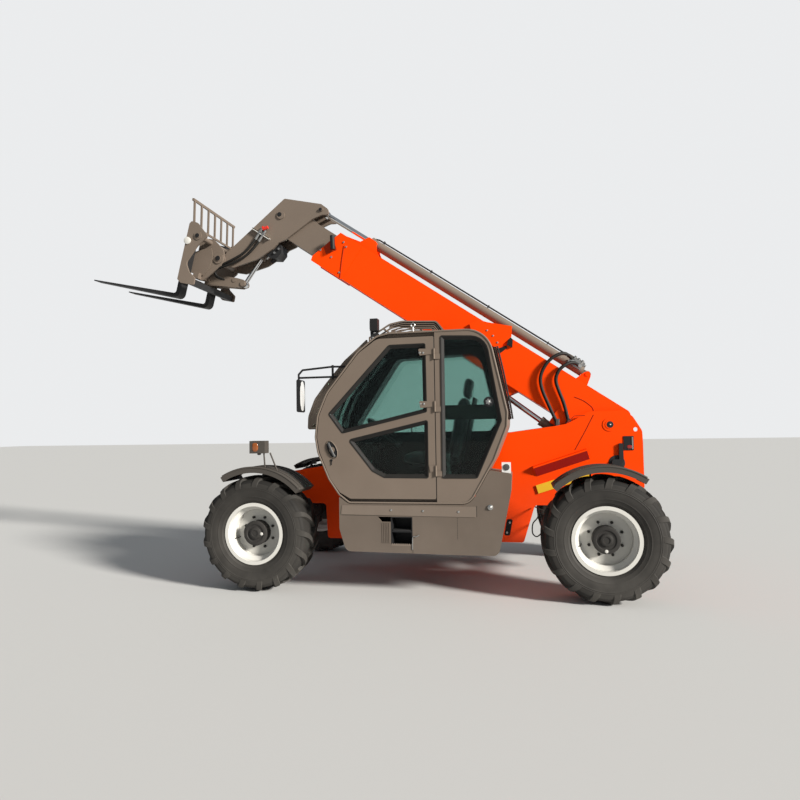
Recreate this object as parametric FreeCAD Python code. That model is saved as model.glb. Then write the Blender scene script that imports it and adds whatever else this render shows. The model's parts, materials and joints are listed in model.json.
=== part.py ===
"""Telehandler: cab on the left, engine pod on the right, telescopic boom between them, forks in front.

Millimetres. X runs forwards, Y to the machine's left, Z up from the ground. X is measured from the
middle of the whole length, so every outline below gives x from the middle of the wheelbase, MID_X.
"""
import FreeCAD, Part
import math
import os

V = FreeCAD.Vector
UP = V(0, 0, 1)
LEFT = V(0, 1, 0)
FORWARD = V(1, 0, 0)

# Clearances between pieces
SEAT_GAP = 0.3
RUN_GAP = 0.05
MOVE_GAP = 6.0
SINK = 1.0

# Wheels and axles
WHEELBASE = 3020.0
REAR_AXLE_X = -2347.0
FRONT_AXLE_X = REAR_AXLE_X + WHEELBASE
MID_X = REAR_AXLE_X + WHEELBASE / 2
TYRE_R = 515.0
TYRE_WIDTH = 400.0
TREAD_DEPTH = 31.0
LUG_COUNT = 17
LUG_WIDTH = 52.0
LUG_SLANT = 13.75
TYRE_FLATS = 22
WHEEL_Y = 900.0
BEAD_R = 254.0
FLANGE_R = 275.0
RIM_WIDTH = 330.0
RIM_WALL = 9.0
DISC_INSET = 30.0
DISC_THICK = 12.0
HUB_R = 108.0
HUB_LENGTH = 92.0
HUB_FLANGE_R = 158.0
SPINDLE_R = 45.0
KINGPIN_Y = 620.0
KINGPIN_R = 25.0
YOKE_REACH = 135.0
YOKE_ARM = 38.0
AXLE_R = 72.0
AXLE_Z = TYRE_R
FENDER_R = 592.0
FENDER_THICK = 14.0
FENDER_WIDTH = 385.0
FENDER_LIP = 48.0
RIB_HEIGHT = 5.0
LAMP_Y = 1000.0

# Chassis: two side plates with the boom between them
PLATE_Y = 205.0
PLATE_THICK = 25.0
PLATE_OUT = PLATE_Y + PLATE_THICK
AXLE_SEAT_Z = 690.0
BELLY_Z = 340.0

# Boom pivot, and boom sizes along (u) and across (w) the boom, from that pivot
PIVOT_X = MID_X - 1664.0
PIVOT_Z = 1443.0
PIVOT_PIN_R = 40.0
BOOM_ANGLE = 34.5
BOOM_HALF = 150.0
BOOM_TOP = 208.0
BOOM_BOTTOM = -192.0
BOOM_WALL = 9.0
BOOM_TIP = 3442.0
INNER_HALF = 118.0
INNER_TOP = 166.0
INNER_BOTTOM = -142.0
INNER_WALL = 10.0
INNER_REAR = 700.0
HEAD_Y = 160.0
HEAD_THICK = 25.0

# Telescope cylinder on top of the boom
TELE_W = 310.0
TELE_REAR = 416.0
TELE_FRONT = 3012.0
TELE_EYE = 3628.0
TELE_R = 48.0
TELE_BORE = 40.0
TELE_ROD_R = 26.0

# Lift cylinders, a pair under the boom
LIFT_FOOT = (MID_X - 1469.4, 1166.1)
LIFT_EYE_U = 985.0
LIFT_EYE_W = -290.0
LIFT_R = 44.0
LIFT_BORE = 36.0
LIFT_ROD_R = 25.0
LIFT_Y = 75.0
LIFT_BARREL = 540.0
EYE_R = 33.0
PAD_GAP = 0.4
PAD_LENGTH = 150.0

# Head pin and tilt cylinder
HEAD_PIN = (3992.0, 34.0)
TILT_R = 42.0
TILT_BORE = 34.0
TILT_ROD_R = 22.0
TILT_BARREL = 512.0

# Carriage, measured forwards (s) and up (v) from its own pivot, tipped back
CARRIAGE_PIVOT = (4328.0, -719.0)
CARRIAGE_TILT = 13.8
CARRIAGE_PIN_R = 30.0
FACE_S = 262.0
TILT_EYE = (-262.0, -197.0)
FORK_Y = 300.0
FORK_WIDTH = 120.0
FORK_THICK = 45.0
FORK_LENGTH = 1010.0
FORK_HEEL_V = -518.0
CARRIAGE_HALF = 460.0
FORK_TOP_V = 228.0
RAIL_TOP_V = 200.0
RAIL_DEPTH = 45.0

# Cab
CAB_IN_Y = 268.0
CAB_OUT_Y = 1080.0
CAB_WALL = 34.0
DOOR_THICK = 32.0
PILLAR_X = MID_X - 148.0
DOOR_GAP = 4.0
GLASS = 6.0
HINGE_R = 8.0
HINGE_PIN_R = 4.0
CAB_BASE_Z = 795.0
CAB_FLOOR_Z = CAB_BASE_Z + CAB_WALL
ROOF_Z = 2268.0
SEAT_Y = 660.0
SKIRT_IN_Y = 770.0
GUARD_BAR = 12.0
GUARD_DEPTH = 24.0
ROOF_GUARD_DEPTH = 13.0
HINGE_REACH = 136.0

# Engine hood's hinge line (y, z) and places along it
HOOD_AXIS = (-262.0, 1362.0)
HOOD_HINGES = (-500.0, 450.0)

# Tie down hole high at the rear of the side plates (x from mid wheelbase, z)
FAIRING = (-985.0, 960.0, -1480.0, 1125.0)
LIFT_HOLE = (-1892.0, 1395.0)
LIFT_HOLE_R = 20.0


def move_x(points):
    """Outline points (x from mid wheelbase, z, corner radius) in the machine's own X."""
    return [(MID_X + x, z, r) for x, z, r in points]


def corner(before, here, after, radius):
    """Start, middle and end of the arc that rounds a corner, no longer than its sides allow."""
    back = (before - here)
    on = (after - here)
    room = 0.48 * min(back.Length, on.Length)
    back.normalize()
    on.normalize()
    half = back.getAngle(on) / 2
    reach = min(radius / math.tan(half), room)
    inward = back + on
    inward.normalize()
    centre = here + inward * (reach / math.cos(half))
    return here + back * reach, centre - inward * (reach * math.tan(half)), here + on * reach


def outline(points, y=0.0):
    """Closed wire at Y=y through (x, z, radius) corners, with tangent arcs where radius is not 0."""
    spots = [V(x, y, z) for x, z, r in points]
    count = len(spots)
    pieces = []
    for i, (x, z, radius) in enumerate(points):
        here = spots[i]
        if radius:
            pieces.append(corner(spots[i - 1], here, spots[(i + 1) % count], radius))
        else:
            pieces.append((here, None, here))
    edges = []
    for i, (start, middle, end) in enumerate(pieces):
        if middle is not None:
            edges.append(Part.Arc(start, middle, end).toShape())
        following = pieces[(i + 1) % count][0]
        if (following - end).Length > 1e-6:
            edges.append(Part.makeLine(end, following))
    return Part.Wire(edges)


def prism(points, y0, y1):
    """Solid with an (x, z, radius) outline, from Y=y0 to Y=y1."""
    return Part.Face(outline(points, y0)).extrude(V(0, y1 - y0, 0))


def sharp(points):
    """(x, z) points as outline corners with no radius."""
    return [(x, z, 0) for x, z in points]


def box(x0, x1, y0, y1, z0, z1):
    return Part.makeBox(x1 - x0, y1 - y0, z1 - z0, V(x0, y0, z0))


def pin_y(x, z, radius, y0, y1):
    """Round bar along Y."""
    return Part.makeCylinder(radius, y1 - y0, V(x, y0, z), LEFT)


def bar(start, end, radius):
    """Round bar between two points."""
    way = end - start
    return Part.makeCylinder(radius, way.Length, start, way)


def tube(start, end, radius, bore):
    return bar(start, end, radius).cut(bar(start, end, bore))


def both_sides(shape):
    """The shape and its mirror image across the machine's middle plane."""
    return [shape, shape.mirror(V(0, 0, 0), LEFT)]


def fuse(shapes):
    whole = shapes[0].multiFuse(shapes[1:]) if len(shapes) > 1 else shapes[0]
    return whole.removeSplitter()


def revolve_y(points, centre):
    """Ring turned about Y through centre, from (y, r) section points."""
    wire = Part.makePolygon([centre + V(0, y, r) for y, r in points + points[:1]])
    return Part.Face(wire).revolve(centre, LEFT, 360)


def on_boom(shape):
    """From boom measures (u along X, w along Z, from the pivot) to the machine at rest."""
    placed = shape.copy()
    placed.rotate(V(0, 0, 0), LEFT, -BOOM_ANGLE)
    placed.translate(V(PIVOT_X, 0, PIVOT_Z))
    return placed


def boom_point(u, w, y=0.0):
    a = math.radians(BOOM_ANGLE)
    return V(PIVOT_X + u * math.cos(a) - w * math.sin(a), y, PIVOT_Z + u * math.sin(a) + w * math.cos(a))


def on_carriage(shape):
    """From carriage measures (s along X, v along Z, from its pivot) to the machine at rest."""
    placed = shape.copy()
    placed.rotate(V(0, 0, 0), LEFT, -CARRIAGE_TILT)
    placed.translate(boom_point(*CARRIAGE_PIVOT))
    return placed


def carriage_point(s, v, y=0.0):
    a = math.radians(CARRIAGE_TILT)
    turned = V(s * math.cos(a) - v * math.sin(a), y, s * math.sin(a) + v * math.cos(a))
    return boom_point(*CARRIAGE_PIVOT) + turned


def save(name, shape):
    shape.exportStep("parts/" + name + ".step")


# Chassis

CHASSIS_PLATE = [
    (-1953, 862, 0), (-1953, 1270, 120), (-1949, 1382, 80), (-1873, 1512, 60), (-1800, 1575, 40),
    (-1480, 1566, 60), (-1413, 1533, 0), (-1366, 1501, 0), (-1272, 1455, 90), (-1170, 1437, 0),
    (-640, 1368, 30), (-500, 1010, 80), (1141, 1063, 0), (1362, 1029, 0), (1780, 965, 60),
    (1850, 860, 20), (1850, 700, 20), (1700, 690, 0), (1110, 690, 40), (1094, 340, 30),
    (-853, 335, 30), (-965, 690, 40), (-1700, 690, 0),
]


def lift_lugs():
    """Cross plate and lugs that carry the feet of the lift cylinders."""
    x, z = LIFT_FOOT
    shelf = box(x - 130, x + 140, -PLATE_Y, PLATE_Y, z - 130, z - 110)
    lug = [(x - 60, z - 110, 0), (x - 44, z + 20, 24), (x, z + 40, 24), (x + 38, z + 20, 24), (x + 42, z - 110, 0)]
    shapes = [shelf]
    for inner in (LIFT_Y - 45, LIFT_Y + 30):
        shapes += both_sides(prism(lug, inner, inner + 15))
    shapes.append(pin_y(x, z, 20.0, -(LIFT_Y + 55), LIFT_Y + 55))
    return shapes


def side_fairing():
    """Box wedge on each side plate above the rear wheel: its lower face slopes out, its top is narrow."""
    x0, z0, x1, z1 = FAIRING
    start, end = V(MID_X + x0, PLATE_OUT - SINK, z0), V(MID_X + x1, PLATE_OUT - SINK, z1)
    way = end - start
    along = V(way)
    along.normalize()
    up = along.cross(LEFT) * (-1 if along.cross(LEFT).z < 0 else 1)
    section = [start, start + LEFT * 48 + up * 84, start + LEFT * 48 + up * 96, start + up * 106]
    return Part.Face(Part.makePolygon(section + section[:1])).extrude(way)


def chassis_frame():
    plate = prism(move_x(CHASSIS_PLATE), PLATE_Y, PLATE_OUT)
    lamp_slot = box(MID_X - 1871, MID_X - 1782, 0, 300, 1204, 1334)
    near = plate.cut(lamp_slot)
    shapes = both_sides(near)
    shapes.append(box(MID_X - 1953, MID_X - 1937, -PLATE_Y, PLATE_Y, 862, 1180))
    shapes.append(box(MID_X + 1834, MID_X + 1850, -PLATE_Y, PLATE_Y, 705, 850))
    shapes.append(box(MID_X - 840, MID_X + 1080, -PLATE_Y, PLATE_Y, BELLY_Z + 5, BELLY_Z + 20))
    shapes.append(pin_y(PIVOT_X, PIVOT_Z, PIVOT_PIN_R, -PLATE_OUT - 8, PLATE_OUT + 8))
    shapes += lift_lugs()
    shapes += both_sides(pin_y(PIVOT_X, PIVOT_Z, 62.0, PLATE_OUT - SINK, PLATE_OUT + 5))
    shapes += both_sides(side_fairing())
    whole = fuse(shapes + outriggers())
    return whole.cut(pin_y(MID_X + LIFT_HOLE[0], LIFT_HOLE[1], LIFT_HOLE_R, -300, 300))


def axle(x):
    """Axle housing with its differential, seats for the chassis plates and a kingpin yoke at each end."""
    beam = pin_y(x, AXLE_Z, AXLE_R, -KINGPIN_Y + 75, KINGPIN_Y - 75)
    casing = Part.makeSphere(155.0, V(x, 0, AXLE_Z)).common(box(x - 130, x + 130, -155, 155, 350, 640))
    shapes = [beam, casing]
    for seat in both_sides(box(x - 90, x + 90, PLATE_Y - 20, PLATE_OUT + 20, AXLE_Z, AXLE_SEAT_Z)):
        shapes.append(seat)
    yoke = [(x - 62, AXLE_Z - YOKE_REACH, 12), (x + 62, AXLE_Z - YOKE_REACH, 12),
            (x + 62, AXLE_Z + YOKE_REACH, 12), (x - 62, AXLE_Z + YOKE_REACH, 12)]
    root = prism(yoke, KINGPIN_Y - 120, KINGPIN_Y - 72)
    for sign in (1, -1):
        low = AXLE_Z + sign * YOKE_REACH - (YOKE_ARM if sign > 0 else 0)
        arm = Part.makeCylinder(62.0, YOKE_ARM, V(x, KINGPIN_Y, low))
        web = box(x - 62, x + 62, KINGPIN_Y - 100, KINGPIN_Y, low, low + YOKE_ARM)
        root = root.fuse(arm).fuse(web)
    root = root.fuse(Part.makeCylinder(KINGPIN_R, 2 * YOKE_REACH, V(x, KINGPIN_Y, AXLE_Z - YOKE_REACH)))
    return fuse(shapes + both_sides(root))


# Wheels: each is made on the left at the front axle's place, then moved or mirrored

WHEELS = [
    # name, axle x, side of the machine
    ("front_left", FRONT_AXLE_X, 1),
    ("front_right", FRONT_AXLE_X, -1),
    ("rear_left", REAR_AXLE_X, 1),
    ("rear_right", REAR_AXLE_X, -1),
]


def faceted_ring(section, count):
    """Ring of flat faces about the Y axis from (y, r) section points, with as many flats round it as count."""
    turns = [2 * math.pi * i / count for i in range(count)]
    rows = [[V(r * math.cos(a), y, r * math.sin(a)) for y, r in section] for a in turns]
    faces = []
    for i, here in enumerate(rows):
        there = rows[(i + 1) % count]
        for j in range(len(section)):
            k = (j + 1) % len(section)
            faces.append(Part.Face(Part.makePolygon([here[j], here[k], there[k], there[j], here[j]])))
    ring = Part.Solid(Part.Shell(faces))
    return ring if ring.Volume > 0 else ring.reversed()


def lug():
    """Tread lug at the front of the tyre, from just past the middle out to the sidewall, slanted along it."""
    half = TYRE_WIDTH / 2
    lean = math.radians(LUG_SLANT) / 2 * TYRE_R
    wide = LUG_WIDTH / 2
    foot = [(-16, lean - wide + 5), (half + 5, -lean - wide), (half + 5, -lean + wide), (-16, lean + wide - 5)]
    plan = Part.Face(Part.makePolygon([V(0, y, z) for y, z in foot + foot[:1]])).extrude(V(TYRE_R, 0, 0))
    base = TYRE_R - TREAD_DEPTH - 12
    rise = [(-16, base), (-16, TYRE_R), (half - 34, TYRE_R), (half - 2, TYRE_R - 50), (half - 12, 415), (half - 60, base)]
    profile = Part.Face(Part.makePolygon([V(r, y, -150) for y, r in rise + rise[:1]])).extrude(V(0, 0, 300))
    end = lean + wide
    low = math.sqrt(TYRE_R ** 2 - end ** 2)
    roof = prism(sharp([(400, -end), (low, -end), (TYRE_R, 0), (low, end), (400, end)]), -20, half + 5)
    return plan.common(profile).common(roof)


def tyre():
    """Carcass with lugs that meet in a slanted V at its middle, staggered from side to side."""
    half = TYRE_WIDTH / 2
    flat = math.cos(math.pi / TYRE_FLATS)
    bead = RIM_WIDTH / 2 - SEAT_GAP
    tread = TYRE_R - TREAD_DEPTH
    side = [(bead, (BEAD_R + SEAT_GAP) / flat), (bead, (FLANGE_R + SEAT_GAP) / flat), (half, 395), (half - 28, tread)]
    carcass = faceted_ring(side + [(-y, r) for y, r in reversed(side)], TYRE_FLATS)
    one = lug()
    other = one.mirror(V(0, 0, 0), LEFT)
    pitch = 360.0 / LUG_COUNT
    shapes = [carcass]
    for i in range(LUG_COUNT):
        for template, start in ((one, 90.0), (other, 90.0 + pitch / 2)):
            placed = template.copy()
            placed.rotate(V(0, 0, 0), LEFT, start + i * pitch)
            shapes.append(placed)
    whole = fuse(shapes)
    whole.translate(V(0, WHEEL_Y, AXLE_Z))
    return whole


def rim():
    """Deep dished rim with its disc, open in the middle for the hub."""
    half = RIM_WIDTH / 2
    drop = BEAD_R - 32
    outer = [(half + RIM_WALL, FLANGE_R), (half, FLANGE_R), (half, BEAD_R), (half - 45, BEAD_R), (half - 70, drop)]
    inner = [(half - 70 - RIM_WALL / 2, drop - RIM_WALL), (half - 45, BEAD_R - RIM_WALL),
             (half + RIM_WALL, BEAD_R - RIM_WALL)]
    barrel = outer + [(-y, r) for y, r in reversed(outer)]
    barrel += [(-y, r) for y, r in reversed(inner)] + inner
    hole = HUB_R + SEAT_GAP
    disc = [(DISC_INSET, hole), (DISC_INSET, drop - RIM_WALL / 2),
            (DISC_INSET + DISC_THICK, drop - RIM_WALL / 2), (DISC_INSET + DISC_THICK, hole)]
    centre = V(0, WHEEL_Y, AXLE_Z)
    return fuse([revolve_y(barrel, centre), revolve_y(disc, centre)])


def hub():
    """Planetary hub that turns on the spindle, with the flange behind the disc and a stepped cap."""
    face = DISC_INSET + DISC_THICK + HUB_LENGTH
    bore = SPINDLE_R + RUN_GAP
    back = DISC_INSET - SEAT_GAP
    section = [(-70, bore), (-70, 95), (back - 18, 95), (back - 18, HUB_FLANGE_R), (back, HUB_FLANGE_R), (back, HUB_R),
               (face - 34, HUB_R), (face - 22, HUB_R - 6), (face, HUB_R - 26), (face, 56), (face + 12, 50),
               (face + 12, 0), (20, 0), (20, bore)]
    return revolve_y(section, V(0, WHEEL_Y, AXLE_Z))


def knuckle():
    """Steering knuckle: a block on the kingpin, the spindle and the arm that carries the fender."""
    reach = YOKE_REACH - YOKE_ARM - MOVE_GAP
    block = Part.makeCylinder(55.0, 2 * reach, V(0, KINGPIN_Y, AXLE_Z - reach))
    flange = pin_y(0, AXLE_Z, 80.0, KINGPIN_Y + 35, KINGPIN_Y + 75)
    spindle = pin_y(0, AXLE_Z, SPINDLE_R, KINGPIN_Y + 20, WHEEL_Y + 15)
    low = AXLE_Z - 40
    stay = box(70, 82, KINGPIN_Y + 15, KINGPIN_Y + 70, low, AXLE_Z + FENDER_R - FENDER_THICK - 45)
    tip_z = AXLE_Z + FENDER_R - FENDER_THICK - 22
    foot = box(30, 82, KINGPIN_Y + 15, KINGPIN_Y + 70, low, low + 80)
    stay = stay.fuse(box(20, 82, KINGPIN_Y + 15, KINGPIN_Y + 70, tip_z - 34, tip_z - 22))
    bracket = fender_band(FENDER_R - FENDER_THICK - 8, FENDER_R - FENDER_THICK, 72, 92, KINGPIN_Y + 15, WHEEL_Y - 60)
    riser = box(20, 60, KINGPIN_Y + 15, KINGPIN_Y + 70, tip_z - 30, AXLE_Z + FENDER_R - FENDER_THICK - 5)
    whole = fuse([block, flange, spindle, stay, foot, bracket, riser])
    hole = Part.makeCylinder(KINGPIN_R + RUN_GAP, 2 * YOKE_REACH, V(0, KINGPIN_Y, AXLE_Z - YOKE_REACH))
    return whole.cut(hole)


def fender_band(r0, r1, from_deg, to_deg, y0, y1):
    """Part of a ring about the axle line, between two angles up from forwards."""
    ring = tube(V(0, y0, AXLE_Z), V(0, y1, AXLE_Z), r1, r0)
    reach = 2 * r1
    a, b = math.radians(from_deg), math.radians(to_deg)
    wedge = prism(sharp([(0, AXLE_Z), (reach * math.cos(a), AXLE_Z + reach * math.sin(a)),
                         (reach * math.cos((a + b) / 2), AXLE_Z + reach * math.sin((a + b) / 2)),
                         (reach * math.cos(b), AXLE_Z + reach * math.sin(b))]), y0, y1)
    return ring.common(wedge)


def fender(from_deg, to_deg, with_lamp):
    """Curved mudguard over a tyre, with a lip turned down on its outer edge, and a lamp on a wire stand."""
    y0 = WHEEL_Y + TYRE_WIDTH / 2 - FENDER_WIDTH - 12
    y1 = y0 + FENDER_WIDTH
    sheet = fender_band(FENDER_R - FENDER_THICK + SEAT_GAP, FENDER_R, from_deg, to_deg, y0, y1)
    shapes = [sheet, fender_band(FENDER_R - FENDER_LIP, FENDER_R, from_deg, to_deg, y1 - 12, y1)]
    for start in (from_deg, to_deg - 1.2):
        shapes.append(fender_band(FENDER_R - FENDER_LIP, FENDER_R, start, start + 1.2, y0, y1))
    for rib in (y0 + 60, y0 + 130, y1 - 150, y1 - 80, y1 - 26):
        shapes.append(fender_band(FENDER_R - SINK, FENDER_R + RIB_HEIGHT, from_deg + 2, to_deg - 2, rib, rib + 16))
    if with_lamp:
        top = AXLE_Z + FENDER_R
        for x in (-200, -80):
            foot = AXLE_Z + math.sqrt((FENDER_R - FENDER_THICK / 3) ** 2 - x * x)
            shapes.append(bar(V(x, LAMP_Y, foot), V(x * 0.5 - 30, LAMP_Y, top + 128), 7.0))
        shapes.append(box(-98, 50, LAMP_Y - 45, LAMP_Y + 45, top + 124, top + 237))
        shapes.append(pin_y(-24, top + 118, 10.0, LAMP_Y - 20, LAMP_Y + 20))
    return fuse(shapes)


def place_wheel_piece(shape, axle_x, side):
    placed = shape.copy()
    if side < 0:
        placed = placed.mirror(V(0, 0, 0), LEFT)
    placed.translate(V(axle_x, 0, 0))
    return placed


# Boom

def outer_boom():
    """Box section boom with its pivot tube, tip collar, cylinder lugs and hose cover."""
    side = [(-110, BOOM_TOP, 60), (3310, BOOM_TOP, 12), (BOOM_TIP, -150, 20), (BOOM_TIP - 12, BOOM_BOTTOM, 20),
            (160, BOOM_BOTTOM, 120), (-60, -120, 80), (-140, -40, 80), (-150, 110, 60)]
    body = prism(side, -BOOM_HALF, BOOM_HALF)
    hollow = box(180, BOOM_TIP + 200, -BOOM_HALF + BOOM_WALL, BOOM_HALF - BOOM_WALL,
                 BOOM_BOTTOM + BOOM_WALL, BOOM_TOP - BOOM_WALL)
    body = body.cut(hollow).cut(pin_y(0, 0, PIVOT_PIN_R + RUN_GAP, -BOOM_HALF, BOOM_HALF))
    shapes = [body]
    root = BOOM_TOP - BOOM_WALL / 2
    collar = [(3310, BOOM_TOP, 0), (BOOM_TIP, -150, 20), (BOOM_TIP - 12, BOOM_BOTTOM - 8, 10),
              (3034, BOOM_BOTTOM - 8, 10), (3034, BOOM_TOP, 0)]
    shapes += both_sides(prism(collar, BOOM_HALF, BOOM_HALF + 10))
    saddle = [(2826, root, 0), (2826, BOOM_TOP, 0), (2900, BOOM_TOP + 44, 10), (2950, TELE_W + 18, 20),
              (3044, TELE_W + 22, 12), (3101, BOOM_TOP + 36, 0), (3310, BOOM_TOP, 0), (3310, root, 0)]
    wall = BOOM_HALF - 74
    shapes += both_sides(prism(saddle, wall, wall + 14))
    clamp = box(2940, 2980, -wall - 5, wall + 5, root, TELE_W + 12)
    shapes.append(clamp.cut(bar(V(2900, 0, TELE_W), V(3050, 0, TELE_W), TELE_R + SEAT_GAP)))
    lug = [(TELE_REAR - 60, root, 0), (TELE_REAR - 36, TELE_W, 34), (TELE_REAR, TELE_W + 40, 34),
           (TELE_REAR + 36, TELE_W, 34), (TELE_REAR + 75, root, 0)]
    shapes += both_sides(prism(lug, 30, 48))
    shapes.append(pin_y(TELE_REAR, TELE_W, 20.0, -56, 56))
    root = BOOM_BOTTOM + BOOM_WALL / 2
    eye = [(LIFT_EYE_U - 110, root, 0), (LIFT_EYE_U - 46, LIFT_EYE_W, 40), (LIFT_EYE_U, LIFT_EYE_W - 48, 40),
           (LIFT_EYE_U + 46, LIFT_EYE_W, 40), (LIFT_EYE_U + 110, root, 0)]
    for inner in (LIFT_Y - 47, LIFT_Y + 32):
        shapes += both_sides(prism(eye, inner, inner + 15))
    shapes += both_sides(pin_y(LIFT_EYE_U, LIFT_EYE_W, 26.0, LIFT_Y + 40, LIFT_Y + 58))
    front, back = 3270.0, 3270.0 - PAD_LENGTH
    shapes.append(box(back, front, -90, 90, BOOM_BOTTOM + BOOM_WALL - SINK, INNER_BOTTOM - PAD_GAP))
    shapes.append(box(back, front, -90, 90, INNER_TOP + PAD_GAP, BOOM_TOP - BOOM_WALL + SINK))
    shapes += both_sides(box(back, front, INNER_HALF + PAD_GAP, BOOM_HALF - BOOM_WALL + SINK, -60, 80))
    return on_boom(fuse(shapes))


def telescope_barrel():
    start, end = V(TELE_REAR + 52, 0, TELE_W), V(TELE_FRONT, 0, TELE_W)
    wall = tube(start, end, TELE_R, TELE_BORE)
    foot = bar(start, start + V(24, 0, 0), TELE_R)
    eye = pin_y(TELE_REAR, TELE_W, 34.0, -28, 28).fuse(box(TELE_REAR, TELE_REAR + 60, -28, 28, TELE_W - 26, TELE_W + 26))
    gland = tube(end - V(20, 0, 0), end + V(14, 0, 0), TELE_R + 6, TELE_ROD_R + RUN_GAP)
    block = box(TELE_REAR + 120, TELE_REAR + 250, -26, 26, TELE_W + TELE_R - 6, TELE_W + TELE_R + 34)
    whole = fuse([wall, foot, eye, gland, block])
    return on_boom(whole.cut(pin_y(TELE_REAR, TELE_W, 20.0 + RUN_GAP, -60, 60)))


def inner_boom():
    """Inner box section, cut to the slant of the head plates."""
    side = sharp([(INNER_REAR, INNER_TOP), (3665, INNER_TOP), (3835, INNER_BOTTOM), (INNER_REAR, INNER_BOTTOM)])
    body = prism(side, -INNER_HALF, INNER_HALF)
    hollow = box(INNER_REAR - 10, 4000, -INNER_HALF + INNER_WALL, INNER_HALF - INNER_WALL,
                 INNER_BOTTOM + INNER_WALL, INNER_TOP - INNER_WALL)
    shapes = [body.cut(hollow)]
    back, front = INNER_REAR, INNER_REAR + PAD_LENGTH
    shapes.append(box(back, front, -90, 90, INNER_TOP - SINK, BOOM_TOP - BOOM_WALL - PAD_GAP))
    shapes.append(box(back, front, -90, 90, BOOM_BOTTOM + BOOM_WALL + PAD_GAP, INNER_BOTTOM + SINK))
    shapes += both_sides(box(back, front, INNER_HALF - SINK, BOOM_HALF - BOOM_WALL - PAD_GAP, -60, 80))
    return on_boom(fuse(shapes))


HEAD_SIDE = [
    (3531, 306, 25), (3575, 349, 40), (3667, 355, 0), (4058, 202, 25), (4311, -638, 0), (4388, -700, 60),
    (4330, -790, 60), (4146, -712, 0), (3963, -502, 60), (3869, -313, 30), (3850, -229, 20), (3800, -160, 0),
    (3665, INNER_TOP + 4, 0), (3600, 262, 40),
]


def boom_head():
    """Goose-neck: two side plates, the web along their front edge and the pin bosses."""
    shapes = both_sides(prism(HEAD_SIDE, HEAD_Y - HEAD_THICK, HEAD_Y))
    inside = HEAD_Y - HEAD_THICK
    web = [(3667, 349, 0), (4058, 202, 25), (4311, -638, 0), (4299, -641, 0), (4046, 193, 20), (3667, 335, 0)]
    shapes.append(prism(web, -inside - 1, inside + 1))
    back = [(3665, INNER_TOP + 3, 0), (3800, INNER_TOP + 3, 0), (3800, INNER_TOP + 15, 0), (3665, INNER_TOP + 15, 0)]
    shapes.append(prism(back, -inside - 1, inside + 1))
    joint = [(3665.5, INNER_TOP, 0), (3690, INNER_TOP, 0), (3860, INNER_BOTTOM, 0), (3835.5, INNER_BOTTOM, 0)]
    shapes.append(prism(joint, -inside - 1, inside + 1))
    shapes += both_sides(pin_y(HEAD_PIN[0], HEAD_PIN[1], 44.0, HEAD_Y - 1, HEAD_Y + 12))
    shapes.append(pin_y(HEAD_PIN[0], HEAD_PIN[1], 22.0, -HEAD_Y, HEAD_Y))
    u, w = CARRIAGE_PIVOT
    hub = pin_y(u, w, 62.0, -HEAD_Y - 12, HEAD_Y + 12)
    shapes.append(hub)
    shapes.append(pin_y(TELE_EYE, TELE_W, 20.0, -HEAD_Y - 14, HEAD_Y + 14))
    whole = fuse(shapes).cut(pin_y(u, w, CARRIAGE_PIN_R + RUN_GAP, -300, 300))
    return on_boom(whole)


def telescope_rod():
    eye = pin_y(TELE_EYE, TELE_W, 40.0, -30, 30)
    rod = bar(V(900, 0, TELE_W), V(TELE_EYE - 20, 0, TELE_W), TELE_ROD_R)
    piston = bar(V(860, 0, TELE_W), V(920, 0, TELE_W), TELE_BORE - RUN_GAP)
    whole = fuse([eye, rod, piston]).cut(pin_y(TELE_EYE, TELE_W, 20.0 + RUN_GAP, -60, 60))
    return on_boom(whole)


# Cylinders that lift the boom and tilt the carriage

def barrel(foot, eye, length, radius, bore, rod, pin, half):
    """Cylinder barrel from its foot towards the rod's eye, at the plane y of the foot."""
    way = eye - foot
    way.normalize()
    start = foot + way * (radius + 8)
    end = foot + way * length
    body = tube(start, end, radius, bore).fuse(bar(start, start + way * 15, radius))
    knob = pin_y(foot.x, foot.z, pin + 20, foot.y - half, foot.y + half)
    neck = bar(foot + way * (pin + 6), start + way * 5, half - 2)
    gland = tube(end - way * 30, end, radius + 3, rod + RUN_GAP)
    return fuse([body, knob, neck, gland]).cut(pin_y(foot.x, foot.z, pin + RUN_GAP, foot.y - 60, foot.y + 60))


def rod(foot, eye, inside, bore, radius, eye_radius, half):
    """Cylinder rod with its piston inside the barrel and a solid eye that holds its own pin."""
    way = eye - foot
    way.normalize()
    start = foot + way * inside
    shapes = [bar(start, eye, radius), bar(start, start + way * 25, bore - RUN_GAP)]
    shapes.append(pin_y(eye.x, eye.z, eye_radius, eye.y - half, eye.y + half))
    return fuse(shapes)


def lift_cylinders():
    barrels, rods = [], []
    for y in (LIFT_Y, -LIFT_Y):
        foot = V(LIFT_FOOT[0], y, LIFT_FOOT[1])
        eye = boom_point(LIFT_EYE_U, LIFT_EYE_W, y)
        barrels.append(barrel(foot, eye, LIFT_BARREL, LIFT_R, LIFT_BORE, LIFT_ROD_R, 20.0, 24.0))
        rods.append(rod(foot, eye, 300.0, LIFT_BORE, LIFT_ROD_R, EYE_R, 24.0))
    return Part.makeCompound(barrels), Part.makeCompound(rods)


def tilt_cylinder():
    foot = boom_point(*HEAD_PIN)
    eye = carriage_point(*TILT_EYE)
    return (barrel(foot, eye, TILT_BARREL, TILT_R, TILT_BORE, TILT_ROD_R, 22.0, 30.0),
            rod(foot, eye, 341.0, TILT_BORE, TILT_ROD_R, 34.0, 26.0))


# Fork carriage

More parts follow.
